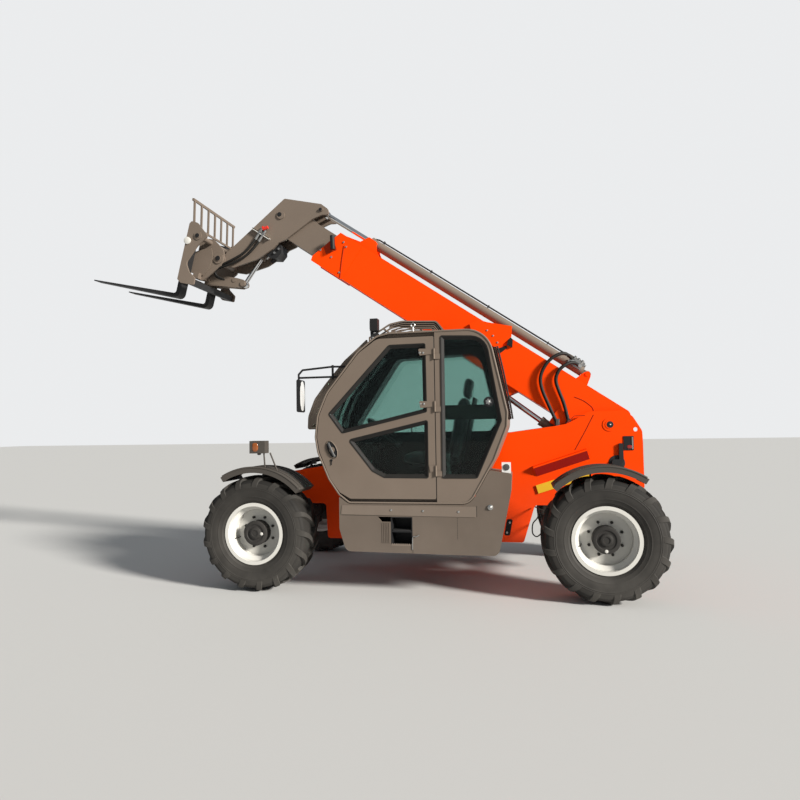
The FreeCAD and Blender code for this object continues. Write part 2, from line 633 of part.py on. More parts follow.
def carriage():
    """Side plates, cross bars, hitch plates on the pivot pin, tilt lugs and the load backrest."""
    side = [(FACE_S, -335, 15), (FACE_S, 262, 10), (243, 290, 15), (172, 284, 20), (26, 166, 20), (120, 40, 60),
            (205, -150, 60), (150, -233, 20), (66, -290, 20), (63, -363, 15), (215, -366, 15)]
    shapes = both_sides(prism(side, CARRIAGE_HALF - 20, CARRIAGE_HALF))
    for v0, v1 in ((RAIL_TOP_V - 50, RAIL_TOP_V), (-330, -270)):
        shapes.append(box(FACE_S - RAIL_DEPTH, FACE_S, -CARRIAGE_HALF + 1, CARRIAGE_HALF - 1, v0, v1))
    shapes.append(pin_y(135, 150, 26.0, -CARRIAGE_HALF - 14, CARRIAGE_HALF + 14))
    shapes += both_sides(pin_y(135, 150, 44.0, CARRIAGE_HALF - 1, CARRIAGE_HALF + 8))
    y0 = HEAD_Y + 12 + MOVE_GAP
    hitch = [(FACE_S - 5, -235, 10), (FACE_S - 5, 150, 10), (170, 190, 20), (107, 195, 20), (44, 156, 40),
             (-40, 90, 50), (-60, 0, 50), (-40, -75, 40), (130, -270, 20)]
    shapes += both_sides(prism(hitch, y0, y0 + 22))
    shapes.append(pin_y(0, 0, CARRIAGE_PIN_R, -y0 - 40, y0 + 40))
    shapes += both_sides(pin_y(0, 0, 56.0, y0 + 20, y0 + 32))
    shapes += both_sides(box(150, 215, y0 - 60, y0 + 90, -262, -200))
    s, v = TILT_EYE
    cheek = [(s - 42, v - 8, 36), (s - 10, v + 44, 36), (s + 80, v + 50, 30), (-8, -150, 60), (120, -120, 30),
             (190, -150, 0), (190, -300, 0), (0, -268, 60), (s + 20, v - 46, 40)]
    shapes += both_sides(prism(cheek, 34, 54))
    shapes += both_sides(pin_y(s, v, 26.0, 50, 64))
    shapes += both_sides(pin_y(s + 108, v + 22, 24.0, 50, 60))
    shapes.append(box(135, 190, -y0 - 1, y0 + 1, -250, -215))
    sill = FORK_TOP_V + MOVE_GAP
    shapes.append(box(FACE_S - 52, FACE_S - 30, -CARRIAGE_HALF + 1, CARRIAGE_HALF - 1, sill, sill + 20))
    post = [(FACE_S - 50, sill + 16), (FACE_S - 32, sill + 16), (FACE_S + 26, 520), (FACE_S + 8, 520)]
    step = 2 * (CARRIAGE_HALF - 28) / 6
    for i in range(7):
        y = -CARRIAGE_HALF + 18 + i * step
        shapes.append(prism(sharp(post), y, y + 20))
    shapes.append(box(FACE_S + 6, FACE_S + 30, -CARRIAGE_HALF, CARRIAGE_HALF, 505, 530))
    return on_carriage(fuse(shapes))


def forks():
    """A pair of forks, each with a tapered blade, a shank and a hook over the top bar."""
    front = FACE_S + SEAT_GAP
    tip = front + FORK_THICK + FORK_LENGTH
    heel = FORK_HEEL_V
    side = [(front, FORK_TOP_V, 0), (front + FORK_THICK, FORK_TOP_V, 10), (front + FORK_THICK, heel + FORK_THICK, 30),
            (tip, heel + 12, 0), (tip, heel, 0), (front, heel, 60)]
    rest = RAIL_TOP_V + SEAT_GAP
    back = front - RAIL_DEPTH - 2
    hook = [(back - 13, FORK_TOP_V, 10), (front + 5, FORK_TOP_V, 0), (front + 5, rest, 0), (back, rest, 0),
            (back, rest - 30, 0), (back - 13, rest - 30, 0)]
    pair = []
    for y in (FORK_Y, -FORK_Y):
        low, high = y - FORK_WIDTH / 2, y + FORK_WIDTH / 2
        pair.append(prism(side, low, high).fuse(prism(hook, low, high)))
    reach = CARRIAGE_HALF - 20 - SEAT_GAP
    pair.append(box(84, 150, -reach, reach, -362, -304))
    return on_carriage(Part.makeCompound(pair))


# Cab

CAB_SIDE = [
    (618, CAB_BASE_Z, 60), (710, 865, 50), (803, 999, 90), (903, 1233, 200), (926, 1369, 120), (905, 1560, 200),
    (819, 1761, 300), (532, ROOF_Z - 153, 250), (360, ROOF_Z - 23, 120), (250, ROOF_Z, 60), (-605, ROOF_Z, 230),
    (-757, 1560, 90), (-750, 1440, 90), (-640, 1164, 90), (-427, CAB_BASE_Z, 130),
]
DOOR_SIDE = [
    (604, 836, 30), (700, 890, 50), (785, 1005, 90), (880, 1238, 180), (904, 1370, 110), (884, 1555, 190),
    (800, 1752, 290), (518, ROOF_Z - 170, 240), (350, ROOF_Z - 52, 110), (-148 + DOOR_GAP, ROOF_Z - 49, 12),
    (-148 + DOOR_GAP, 836, 12),
]
DOOR_OPENING = [
    (560, 880, 30), (650, 915, 50), (745, 1025, 90), (838, 1255, 150), (860, 1370, 90), (842, 1545, 160),
    (765, 1730, 260), (485, ROOF_Z - 198, 200), (330, ROOF_Z - 96, 90), (-105, ROOF_Z - 96, 12), (-105, 880, 12),
]
UPPER_WINDOW = [(797, 1571, 20), (245, ROOF_Z - 113, 30), (-71, ROOF_Z - 111, 14), (-75, 1575, 14), (673, 1403, 20)]
LOWER_WINDOW = [(619, 1343, 20), (-81, 1502, 14), (-80, 1015, 14), (301, 1018, 30), (407, 1074, 60)]
REAR_WINDOW = [
    (-205, ROOF_Z - 51, 14), (-583, ROOF_Z - 68, 150), (-702, 1491, 50), (-492, 1015, 20), (-200, 1015, 14),
]
BOOM_SIDE_WINDOW = [
    (700, 1500, 60), (300, ROOF_Z - 168, 90), (-480, ROOF_Z - 138, 120), (-620, 1480, 60), (-560, 1400, 40),
    (690, 1400, 40),
]
FRONT_SCREEN = (400, 1000, 1010, ROOF_Z - 118)
REAR_SCREEN = (-800, -560, 1500, ROOF_Z - 148)
HINGE_HEIGHTS = (1073, 1617, ROOF_Z - 203)


def offset_prism(points, inset, y0, y1):
    """Prism whose outline lies inset inside the given one."""
    face = Part.Face(outline(points, y0)).makeOffset2D(-inset)
    return face.extrude(V(0, y1 - y0, 0))


def screen_box(screen, y0, y1):
    x0, x1, z0, z1 = screen
    return box(MID_X + x0, MID_X + x1, y0, y1, z0, z1)


def cab_frame():
    """Hollow shell with a bead round the door side, and the fixed panel behind the door."""
    side = move_x(CAB_SIDE)
    flush = CAB_OUT_Y - DOOR_THICK - 2.0
    shell = prism(side, CAB_IN_Y, flush)
    shell = shell.cut(offset_prism(side, CAB_WALL, CAB_IN_Y + CAB_WALL, flush - CAB_WALL))
    for points in (DOOR_OPENING, REAR_WINDOW):
        shell = shell.cut(prism(move_x(points), flush - CAB_WALL - 5, CAB_OUT_Y + 5))
    shell = shell.cut(prism(move_x(BOOM_SIDE_WINDOW), CAB_IN_Y - 5, CAB_IN_Y + CAB_WALL + 5))
    for screen in (FRONT_SCREEN, REAR_SCREEN):
        shell = shell.cut(screen_box(screen, CAB_IN_Y + 55, flush - 55))
    bead = prism(side, flush, CAB_OUT_Y).cut(offset_prism(side, 16.0, flush - 1, CAB_OUT_Y + 1))
    panel = prism(side, flush, CAB_OUT_Y - 2.0).cut(box(PILLAR_X - DOOR_GAP, MID_X + 2000, flush - 1, CAB_OUT_Y + 1, 0, 3000))
    panel = panel.cut(prism(move_x(REAR_WINDOW), flush - 5, CAB_OUT_Y + 5))
    return fuse([shell, bead, panel])


def cab_glass():
    side = move_x(CAB_SIDE)
    flush = CAB_OUT_Y - DOOR_THICK - 2.0
    ring = offset_prism(side, 12.0, CAB_IN_Y + 55, flush - 55)
    ring = ring.cut(offset_prism(side, 12.0 + GLASS, CAB_IN_Y, flush))
    panes = [ring.common(screen_box(screen, CAB_IN_Y, flush)) for screen in (FRONT_SCREEN, REAR_SCREEN)]
    panes.append(prism(move_x(REAR_WINDOW), CAB_OUT_Y - 20, CAB_OUT_Y - 20 + GLASS))
    panes.append(prism(move_x(BOOM_SIDE_WINDOW), CAB_IN_Y + 12, CAB_IN_Y + 12 + GLASS))
    return Part.makeCompound(panes)


def door():
    y0 = CAB_OUT_Y - DOOR_THICK
    leaf = prism(move_x(DOOR_SIDE), y0, CAB_OUT_Y)
    for points in (UPPER_WINDOW, LOWER_WINDOW):
        leaf = leaf.cut(prism(move_x(points), y0 - 5, CAB_OUT_Y + 5))
    shapes = [leaf]
    axis_x, axis_y = hinge_axis()
    for z in HINGE_HEIGHTS:
        shapes.append(Part.makeCylinder(HINGE_R, 44, V(axis_x, axis_y, z + 1)))
        reach = 60 if z == HINGE_HEIGHTS[0] else HINGE_REACH
        arm = [(axis_x + 5, z + 1, 0), (axis_x + reach - 12, z - 10, 10), (axis_x + reach, z + 50, 12),
               (axis_x + 5, z + 45, 0)]
        shapes.append(prism(arm, CAB_OUT_Y - 1, CAB_OUT_Y + 7))
    handle_x, handle_z = MID_X + 764, 1259
    shapes.append(pin_y(handle_x, handle_z, 26.0, CAB_OUT_Y - 1, CAB_OUT_Y + 14))
    whole = fuse(shapes)
    for z in HINGE_HEIGHTS:
        whole = whole.cut(Part.makeCylinder(HINGE_PIN_R + RUN_GAP, 60, V(axis_x, axis_y, z - 5)))
    panes = [prism(move_x(points), y0 + 12, y0 + 12 + GLASS) for points in (UPPER_WINDOW, LOWER_WINDOW)]
    return whole, Part.makeCompound(panes)


def hinge_axis():
    return PILLAR_X, CAB_OUT_Y + HINGE_R + 1.0


def hinge_leaves():
    """Fixed halves of the door hinges, under the halves on the door."""
    axis_x, axis_y = hinge_axis()
    shapes = []
    for z in HINGE_HEIGHTS:
        barrel_part = Part.makeCylinder(HINGE_R, 44, V(axis_x, axis_y, z - 44))
        leaf = box(axis_x - 50, axis_x - 5, CAB_OUT_Y - 3, CAB_OUT_Y + 7, z - 44, z)
        pin = Part.makeCylinder(HINGE_PIN_R, 50, V(axis_x, axis_y, z - 2))
        shapes.append(fuse([barrel_part, leaf, pin]))
    return shapes


# Outer edge of the guard bars over the roof, and of those before the windscreen, closed inside the cab
ROOF_GUARD = [
    (-205, ROOF_Z - 168, 0), (-205, ROOF_Z + 40, 40), (-150, ROOF_Z + 112, 50), (160, ROOF_Z + 128, 200),
    (275, ROOF_Z + 106, 120), (466, ROOF_Z - 8, 8), (466, ROOF_Z - 168, 0),
]
SCREEN_GUARD = [
    (480, ROOF_Z - 20, 8), (566, ROOF_Z - 97, 200), (697, ROOF_Z - 209, 200), (879, 1852, 200), (985, 1715, 150),
    (1046, 1560, 150), (1052, 1440, 20), (700, 1440, 0), (480, ROOF_Z - 300, 0),
]
GUARD_ROWS = 5
ROOF_TIES = [(-188, ROOF_Z + 22), (60, ROOF_Z + 112), (330, ROOF_Z + 62)]
SCREEN_TIES = [(1034, 1470), (1018, 1600), (915, 1785), (741, 1998), (604, ROOF_Z - 147)]


def guard(points, ties, depth):
    """Flat bars side by side along one curved line, cut off at the cab's skin, with round ties across them."""
    near, far = CAB_OUT_Y - 182, CAB_IN_Y + 80
    side = move_x(CAB_SIDE)
    line = move_x(points)
    step = (near - far) / (GUARD_ROWS - 1)
    shapes = []
    for i in range(GUARD_ROWS):
        y = far + i * step
        bar_line = prism(line, y, y + GUARD_BAR).cut(offset_prism(line, depth, y - 1, y + GUARD_BAR + 1))
        shapes.append(bar_line.cut(prism(side, y - 1, y + GUARD_BAR + 1)))
    for x, z in ties:
        shapes.append(box(MID_X + x - 6, MID_X + x + 6, far + 1, near + GUARD_BAR - 1, z - 6, z + 6))
    return fuse(shapes)


def roof_guard():
    return guard(ROOF_GUARD, ROOF_TIES, ROOF_GUARD_DEPTH)


def screen_guard():
    return guard(SCREEN_GUARD, SCREEN_TIES, GUARD_DEPTH)


def cab_seat():
    """Pedestal, cushion, backrest and head rest in the middle of the cab."""
    y = SEAT_Y
    shapes = [box(MID_X - 290, MID_X + 60, y - 170, y + 170, CAB_FLOOR_Z + SEAT_GAP, 1110)]
    shapes.append(prism(move_x([(-330, 1090, 30), (190, 1120, 40), (190, 1220, 40), (-330, 1200, 30)]), y - 240, y + 240))
    back = [(-330, 1150, 30), (-210, 1150, 30), (-330, 1720, 40), (-430, 1700, 40)]
    shapes.append(prism(move_x(back), y - 230, y + 230))
    head = [(-420, 1690, 0), (-350, 1690, 0), (-375, 1880, 30), (-450, 1870, 30)]
    shapes.append(prism(move_x(head), y - 130, y + 130))
    return fuse(shapes)


def cab_controls():
    """Front column with the steering wheel, and a side console with a lever."""
    y = SEAT_Y
    column = [(500, CAB_FLOOR_Z + SEAT_GAP, 0), (690, 935, 0), (640, 1230, 60), (520, 1330, 60), (470, 1230, 60)]
    shapes = [prism(move_x(column), y - 130, y + 130)]
    start, end = V(MID_X + 540, y, 1240), V(MID_X + 395, y, 1400)
    shapes.append(bar(start, end, 20.0))
    way = end - start
    way.normalize()
    wheel = Part.makeTorus(185.0, 14.0, end, way)
    shapes.append(wheel)
    shapes.append(bar(end - way * 12, end + way * 12, 45.0))
    side = way.cross(LEFT)
    for arm in (LEFT, LEFT * -1, side):
        shapes.append(bar(end, end + arm * 185, 10.0))
    console = [(-300, CAB_FLOOR_Z + SEAT_GAP, 0), (300, CAB_FLOOR_Z + SEAT_GAP, 0), (330, 1340, 60), (150, 1400, 60),
               (-300, 1300, 60)]
    shapes.append(prism(move_x(console), CAB_IN_Y + CAB_WALL + 8, CAB_IN_Y + CAB_WALL + 110))
    lever = V(MID_X + 180, CAB_IN_Y + CAB_WALL + 60, 1360)
    shapes.append(bar(lever, lever + V(20, 0, 150), 9.0))
    shapes.append(Part.makeSphere(26.0, lever + V(20, 0, 160)))
    return Part.makeCompound([fuse(shapes[:-3]), fuse(shapes[-3:])])


SKIRT_SIDE = [
    (707, 852, 4), (619, 791, 64), (-429, 791, 134), (-594, 1076, 10), (-775, 1051, 20),
    (-765, 896, 60), (-655, 375, 60), (-379, 375, 0), (648, 385, 60), (707, 575, 100),
]
STEP = (63, 250, 443, 685)
STEP_NOTCH = [(249, 685, 0), (366, 685, 0), (329, 642, 0), (249, 642, 0)]


def outriggers(grow=0.0):
    """Beams from the chassis that carry the cab, its skirt and the tank."""
    shapes = []
    for x in (-280, 420):
        shapes.append(box(MID_X + x - grow, MID_X + x + 80 + grow, PLATE_OUT, 1010 + grow, 735 - grow, CAB_BASE_Z - SEAT_GAP))
    return shapes


def cab_skirt():
    """Side cover below the cab, hollow behind, with the step's opening."""
    side = move_x(SKIRT_SIDE)
    shell = prism(side, SKIRT_IN_Y, CAB_OUT_Y)
    shell = shell.cut(offset_prism(side, 12.0, SKIRT_IN_Y - 1, CAB_OUT_Y - 12))
    x0, x1, z0, z1 = STEP
    shell = shell.cut(box(MID_X + x0, MID_X + x1, CAB_OUT_Y - 30, CAB_OUT_Y + 5, z0, z1))
    shell = shell.cut(prism(move_x(STEP_NOTCH), CAB_OUT_Y - 30, CAB_OUT_Y + 5))
    for i in range(5):
        rib = MID_X + x1 + 10 + i * 15
        shell = shell.fuse(box(rib, rib + 7, CAB_OUT_Y - 6, CAB_OUT_Y + 3, z0 + 20, 634))
    for beam in outriggers(SEAT_GAP):
        shell = shell.cut(beam)
    return shell.removeSplitter()


def entry_step():
    """Foot box set in the skirt, with two treads."""
    x0, x1, z0, z1 = STEP
    gap = SEAT_GAP
    shell = box(MID_X + x0 + gap, MID_X + x1 - gap, 930, CAB_OUT_Y, z0 + gap, z1 - gap)
    shell = shell.cut(box(MID_X + x0 + 8, MID_X + x1 - 8, 938, CAB_OUT_Y + 1, z0 + 8, z1 - 8))
    tread = box(MID_X + x0 + 7, MID_X + x1 - 7, 937, CAB_OUT_Y, z0 + 112, z0 + 124)
    return shell.fuse(tread).removeSplitter()


def fuel_tank():
    side = [(-380, 420, 40), (590, 420, 40), (590, 735 - SEAT_GAP, 20), (-380, 735 - SEAT_GAP, 20)]
    return prism(move_x(side), PLATE_OUT + 10, SKIRT_IN_Y - 15)


POD_GRILLES = (-640, 180)
POD_SLOTS = 10
POD_SIDE = [(-750, 560, 60), (-600, 430, 60), (560, 430, 60), (700, 560, 60), (700, 1338, 10), (-750, 1338, 10)]


def engine_pod():
    """Open topped housing on the right side of the chassis."""
    side = move_x(POD_SIDE)
    inner, outer = -PLATE_OUT - SEAT_GAP, -1050.0
    shell = prism(side, outer, inner)
    hollow = move_x([(-738, 566, 55), (-594, 442, 55), (554, 442, 55), (688, 566, 55), (688, 1400, 0), (-738, 1400, 0)])
    shell = shell.cut(prism(hollow, outer + 12, inner - 12))
    for start in POD_GRILLES:
        for i in range(POD_SLOTS):
            x = MID_X + start + i * 44
            shell = shell.cut(box(x, x + 20, outer - 1, outer + 13, 760, 1180))
    shapes = [shell]
    y, z = HOOD_AXIS
    for x in HOOD_HINGES:
        lug = Part.makeCylinder(10.0, 40, V(MID_X + x - 41, y, z), FORWARD)
        leaf = box(MID_X + x - 41, MID_X + x - 1, y - 6, inner - 1, 1330, z - 2)
        shapes.append(lug.fuse(leaf))
        shapes.append(Part.makeCylinder(4.0, 84, V(MID_X + x - 42, y, z), FORWARD))
    return fuse(shapes)


def engine_block():
    return box(MID_X - 560, MID_X + 340, -830, -330, 442 + SEAT_GAP, 1120)


def engine_hood():
    """Lid over the engine pod, hinged along its inner edge."""
    y, z = HOOD_AXIS
    base = 1338 + MOVE_GAP
    lid = prism(move_x([(-750, base, 0), (700, base, 0), (690, 1374, 20), (-740, 1374, 20)]), -1050, y - 18)
    lid = lid.cut(box(MID_X - 738, MID_X + 684, -1038, y - 30, base - 1, 1366))
    shapes = [lid]
    for x in HOOD_HINGES:
        shapes.append(Part.makeCylinder(10.0, 40, V(MID_X + x + 1, y, z), FORWARD))
        shapes.append(box(MID_X + x + 1, MID_X + x + 41, y - 20, y - 2, z - 5, z + 3))
    whole = fuse(shapes)
    for x in HOOD_HINGES:
        whole = whole.cut(Part.makeCylinder(4.0 + RUN_GAP, 90, V(MID_X + x - 45, y, z), FORWARD))
    return whole


def safety_prop():
    """Yellow strut stowed flat against the left side plate."""
    side = [(-1000, 800, 0), (-978, 876, 0), (-1450, 1030, 0), (-1480, 955, 0)]
    return prism(move_x(side), PLATE_OUT + SEAT_GAP, PLATE_OUT + 14)


def lamps():
    """Rear lamps in their slots, the roof work lamp and the small side lamp behind the cab."""
    shapes = both_sides(box(MID_X - 1870.5, MID_X - 1782.5, PLATE_Y + 2, PLATE_OUT + 6, 1204.5, 1333.5))
    foot = V(MID_X + 395, 950, ROOF_Z - 43)
    stay = bar(foot, V(MID_X + 400, 950, ROOF_Z + 62), 8.0)
    shell = box(MID_X + 366, MID_X + 434, 916, 996, ROOF_Z + 36, ROOF_Z + 144)
    roof_lamp = stay.fuse(shell).cut(prism(move_x(CAB_SIDE), CAB_IN_Y, CAB_OUT_Y))
    shapes.append(roof_lamp.removeSplitter())
    shapes.append(box(MID_X - 755, MID_X - 705, 975, 1050, 1056, 1118).cut(prism(move_x(SKIRT_SIDE), 0, CAB_OUT_Y)))
    return Part.makeCompound(shapes)


def lamp_posts():
    """Folded black brackets below the rear lamps, on the side plates."""
    post = move_x([(-1738, 1268, 10), (-1776, 1268, 10), (-1776, 1100, 10), (-1738, 1066, 30), (-1672, 1066, 26),
                   (-1672, 1120, 26), (-1738, 1120, 10)])
    return both_sides(prism(post, PLATE_OUT + SEAT_GAP, PLATE_OUT + 22))


MIRROR_ARMS = [
    # each: (x, z) places along one arm
    [(610, 1990), (776, 1996), (1059, 1974), (1096, 1935), (1096, 1880)],
    [(655, 1905), (1096, 1905)],
]
MIRROR_Y = 1010.0
MIRROR_TURN = 4.0


def mirror():
    """Rear view mirror on two bent arms from the cab's front pillar."""
    y = MIRROR_Y
    shapes = []
    for path in MIRROR_ARMS:
        for (x0, z0), (x1, z1) in zip(path, path[1:]):
            shapes.append(bar(V(MID_X + x0, y, z0), V(MID_X + x1, y, z1), 9.0))
            shapes.append(Part.makeSphere(9.0, V(MID_X + x1, y, z1)))
    shapes.append(box(MID_X + 768, MID_X + 784, y - 8, y + 8, 1880, 2010))
    shell = prism([(-22, 1595, 16), (10, 1595, 16), (10, 1886, 16), (-22, 1886, 16)], -80, 80)
    shell.rotate(V(0, 0, 0), UP, MIRROR_TURN)
    shell.translate(V(MID_X + 1084, y, 0))
    shapes.append(shell)
    return fuse(shapes).cut(prism(move_x(CAB_SIDE), CAB_IN_Y, CAB_OUT_Y))


def hose(points, radius, bend):
    """Hose through 3-D points, straight between them and rounded at each."""
    spots = [V(*p) for p in points]
    shapes = []
    last = spots[0]
    for before, here, after in zip(spots, spots[1:], spots[2:]):
        start, middle, end = corner(before, here, after, bend)
        way, on = here - before, after - here
        disc = Part.Face(Part.Wire([Part.makeCircle(radius, start, way)]))
        shapes.append(bar(last, start, radius))
        centre = Part.Circle(start, middle, end).Center
        shapes.append(disc.revolve(centre, way.cross(on), math.degrees(way.getAngle(on))))
        last = end
    shapes.append(bar(last, spots[-1], radius))
    return fuse(shapes)


HOSES = [
    # each: points (u, w, y) along the hose on the boom's left side
    [(650, BOOM_TOP + 20, 118), (650, 374, 118), (745, 355, 182), (800, 190, 182), (780, 50, 182),
     (690, -60, 182), (400, -240, 178)],
    [(560, BOOM_TOP + 20, 118), (560, 376, 118), (620, 360, 182), (668, 230, 182), (650, 110, 182),
     (550, 10, 182), (330, -220, 178)],
]


def boom_hoses():
    """Hoses from a block on the boom, over its side and down to a bulkhead plate near the pivot."""
    shapes = [box(530, 690, 94, 142, BOOM_TOP + SEAT_GAP, BOOM_TOP + 60)]
    for points in HOSES:
        shapes.append(hose([(u, y, w) for u, w, y in points], 14.0, 80.0))
    plate = [(280, -120, 20), (470, -120, 20), (470, -280, 20), (280, -280, 20)]
    shapes.append(prism(plate, BOOM_HALF + SEAT_GAP, BOOM_HALF + 12))
    for u, w in ((400, -240), (330, -220)):
        shapes.append(box(u - 24, u + 24, BOOM_HALF + 10, BOOM_HALF + 42, w - 20, w + 20))
    return on_boom(fuse(shapes))


def main():
    os.makedirs("parts", exist_ok=True)
    save("chassis_frame", chassis_frame())
    save("front_axle", axle(FRONT_AXLE_X))
    save("rear_axle", axle(REAR_AXLE_X))
    tyre_shape, rim_shape, hub_shape, knuckle_shape = tyre(), rim(), hub(), knuckle()
    for name, axle_x, side in WHEELS:
        save("tyre_" + name, place_wheel_piece(tyre_shape, axle_x, side))
        save("rim_" + name, place_wheel_piece(rim_shape, axle_x, side))
        save("hub_" + name, place_wheel_piece(hub_shape, axle_x, side))
        save("knuckle_" + name, place_wheel_piece(knuckle_shape, axle_x, side))
        guard = fender(58.0, 138.0, True) if axle_x == FRONT_AXLE_X else fender(46.0, 124.0, False)
        save("fender_" + name, place_wheel_piece(guard, axle_x, side))
    save("boom_outer", outer_boom())
    save("boom_hoses", boom_hoses())
    save("telescope_barrel", telescope_barrel())
    save("boom_inner", inner_boom())
    save("boom_head", boom_head())
    save("telescope_rod", telescope_rod())
    lift_barrels, lift_rods = lift_cylinders()
    save("lift_barrels", lift_barrels)
    save("lift_rods", lift_rods)
    tilt_barrel, tilt_rod = tilt_cylinder()
    save("tilt_barrel", tilt_barrel)
    save("tilt_rod", tilt_rod)
    save("fork_carriage", carriage())
    save("forks", forks())
    save("cab_frame", fuse([cab_frame()] + hinge_leaves()))
    save("cab_glass", cab_glass())
    door_shape, door_panes = door()
    save("door_frame", door_shape)
    save("door_glass", door_panes)
    save("roof_guard", roof_guard())
    save("screen_guard", screen_guard())
    save("cab_seat", cab_seat())
    save("cab_controls", cab_controls())
    save("cab_skirt", cab_skirt())
    save("entry_step", entry_step())
    save("fuel_tank", fuel_tank())
    save("engine_pod", engine_pod())
    save("engine_block", engine_block())
    save("engine_hood", engine_hood())
    save("safety_prop", safety_prop())
    save("lamps", lamps())
    save("mirror", mirror())
    save("lamp_posts", Part.makeCompound(lamp_posts()))


main()
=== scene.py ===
"""Telehandler: finishes, tyres, glass seals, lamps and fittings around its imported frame."""
import json
import math

import bmesh
import bpy
import numpy as np
from mathutils import Matrix, Vector


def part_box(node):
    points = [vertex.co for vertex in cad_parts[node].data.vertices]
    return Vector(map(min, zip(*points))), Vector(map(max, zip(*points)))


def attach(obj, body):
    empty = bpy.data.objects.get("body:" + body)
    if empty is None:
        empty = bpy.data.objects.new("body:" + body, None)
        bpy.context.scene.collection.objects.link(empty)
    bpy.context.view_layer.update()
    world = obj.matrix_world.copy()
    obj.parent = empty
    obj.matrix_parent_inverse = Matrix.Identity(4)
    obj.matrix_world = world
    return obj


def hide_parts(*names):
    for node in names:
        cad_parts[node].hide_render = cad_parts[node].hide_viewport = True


bl_info = {
    "name": "Telehandler Dressing",
    "version": (1, 0, 0),
    "blender": (4, 5, 0),
    "location": "View3D > Sidebar > Telehandler",
    "description": "Finishes and fittings for a telescopic handler, built on its frame",
    "category": "Object",
}

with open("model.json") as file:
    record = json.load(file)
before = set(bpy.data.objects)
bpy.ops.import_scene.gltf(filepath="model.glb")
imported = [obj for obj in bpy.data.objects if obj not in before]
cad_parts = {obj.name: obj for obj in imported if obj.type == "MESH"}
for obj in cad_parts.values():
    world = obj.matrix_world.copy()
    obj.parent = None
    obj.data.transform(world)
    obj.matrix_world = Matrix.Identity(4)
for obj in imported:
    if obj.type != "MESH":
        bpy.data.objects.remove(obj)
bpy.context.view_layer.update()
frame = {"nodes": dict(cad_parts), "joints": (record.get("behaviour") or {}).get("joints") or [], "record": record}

CORNERS = ("front_left", "front_right", "rear_left", "rear_right")
JOINTS = {joint["name"]: joint for joint in frame["joints"]}


def joint_place(name):
    """Where a joint's axis passes, as an array."""
    return np.array(JOINTS[name]["pos_m"], float)


def box_of(node):
    """Lowest and highest corner of a node, as arrays."""
    low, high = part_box(node)
    return np.array(low), np.array(high)


# Places taken from the frame
AXLE_Z = joint_place("spin_front_left")[2]
FRONT_X = joint_place("spin_front_left")[0]
REAR_X = joint_place("spin_rear_left")[0]
MID_X = (FRONT_X + REAR_X) / 2
WHEEL_Y = joint_place("spin_front_left")[1]
TYRE_R = AXLE_Z
PIVOT = joint_place("boom_lift")
BOOM_ANGLE = math.atan2(JOINTS["telescope"]["axis"][2], JOINTS["telescope"]["axis"][0])
DOOR_FACE_Y = 1.080
PLATE_FACE_Y = 0.230
CAB_MIDDLE = (MID_X + 0.05, 0.66, 1.55)
FAIRING = (-985.0, 960.0, -1480.0, 1125.0)

# The camera's place and aim when the photograph was taken, from the wheels and the cab
CAMERA_PLACE = (MID_X - 0.896, 6.220, 1.434)
CAMERA_YAW = -0.2014
CAMERA_PITCH = 0.0469
CAMERA_ROLL = -0.0156
CAMERA_FOCAL_PX = 612.36
IMAGE_PX = 800
SENSOR_MM = 36.0


# Properties


def colour_property(name, description, rgb):
    return bpy.props.FloatVectorProperty(
        name=name, description=description, subtype="COLOR", size=3, min=0.0, max=1.0, default=rgb
    )


class PaintSettings(bpy.types.PropertyGroup):
    """Colours of the paint, rubber and glass."""

    body: colour_property("Body paint", "Chassis and outer boom", (0.93, 0.060, 0.0015))
    cover: colour_property("Cover paint", "Cab, covers, inner boom and carriage", (0.172, 0.136, 0.108))
    wheel: colour_property("Wheel paint", "Rims", (0.62, 0.61, 0.57))
    dark: colour_property("Dark paint", "Forks and small parts", (0.024, 0.024, 0.025))
    fender: colour_property("Mudguard", "Mudguards", (0.062, 0.055, 0.048))
    prop: colour_property("Prop paint", "Stowed safety prop", (0.80, 0.48, 0.03))
    rubber: colour_property("Rubber", "Tyres and seals", (0.0180, 0.0165, 0.0145))
    pane: colour_property("Glass tint", "Cab windows", (0.32, 0.50, 0.45))


class StageSettings(bpy.types.PropertyGroup):
    """Floor and light."""

    floor: colour_property("Floor", "Floor colour", (0.58, 0.58, 0.57))
    key: bpy.props.FloatProperty(name="Key light", description="Strength of the sun lamp", default=6.8, min=0.0)
    fill: bpy.props.FloatProperty(name="Fill light", description="Strength of the sky light", default=0.30, min=0.0)


# Materials


def new_material(name, base, roughness=0.5, metallic=0.0, coat=0.0, specular=0.5):
    """Principled material with plain values, and its node tree for what is added."""
    material = bpy.data.materials.new(name)
    material.use_nodes = True
    shader = material.node_tree.nodes["Principled BSDF"]
    shader.inputs["Base Color"].default_value = (*base, 1.0)
    shader.inputs["Roughness"].default_value = roughness
    shader.inputs["Metallic"].default_value = metallic
    shader.inputs["Coat Weight"].default_value = coat
    shader.inputs["Coat Roughness"].default_value = 0.08
    shader.inputs["Specular IOR Level"].default_value = specular
    return material, material.node_tree, shader


def noise_field(tree, scale, detail=4.0, stretch=(1.0, 1.0, 1.0)):
    """Noise over the Object coordinates, stretched along an axis where asked."""
    place = tree.nodes.new("ShaderNodeTexCoord")
    mapping = tree.nodes.new("ShaderNodeMapping")
    mapping.inputs["Scale"].default_value = stretch
    noise = tree.nodes.new("ShaderNodeTexNoise")
    noise.inputs["Scale"].default_value = scale
    noise.inputs["Detail"].default_value = detail
    tree.links.new(place.outputs["Object"], mapping.inputs["Vector"])
    tree.links.new(mapping.outputs["Vector"], noise.inputs["Vector"])
    return noise.outputs["Fac"]


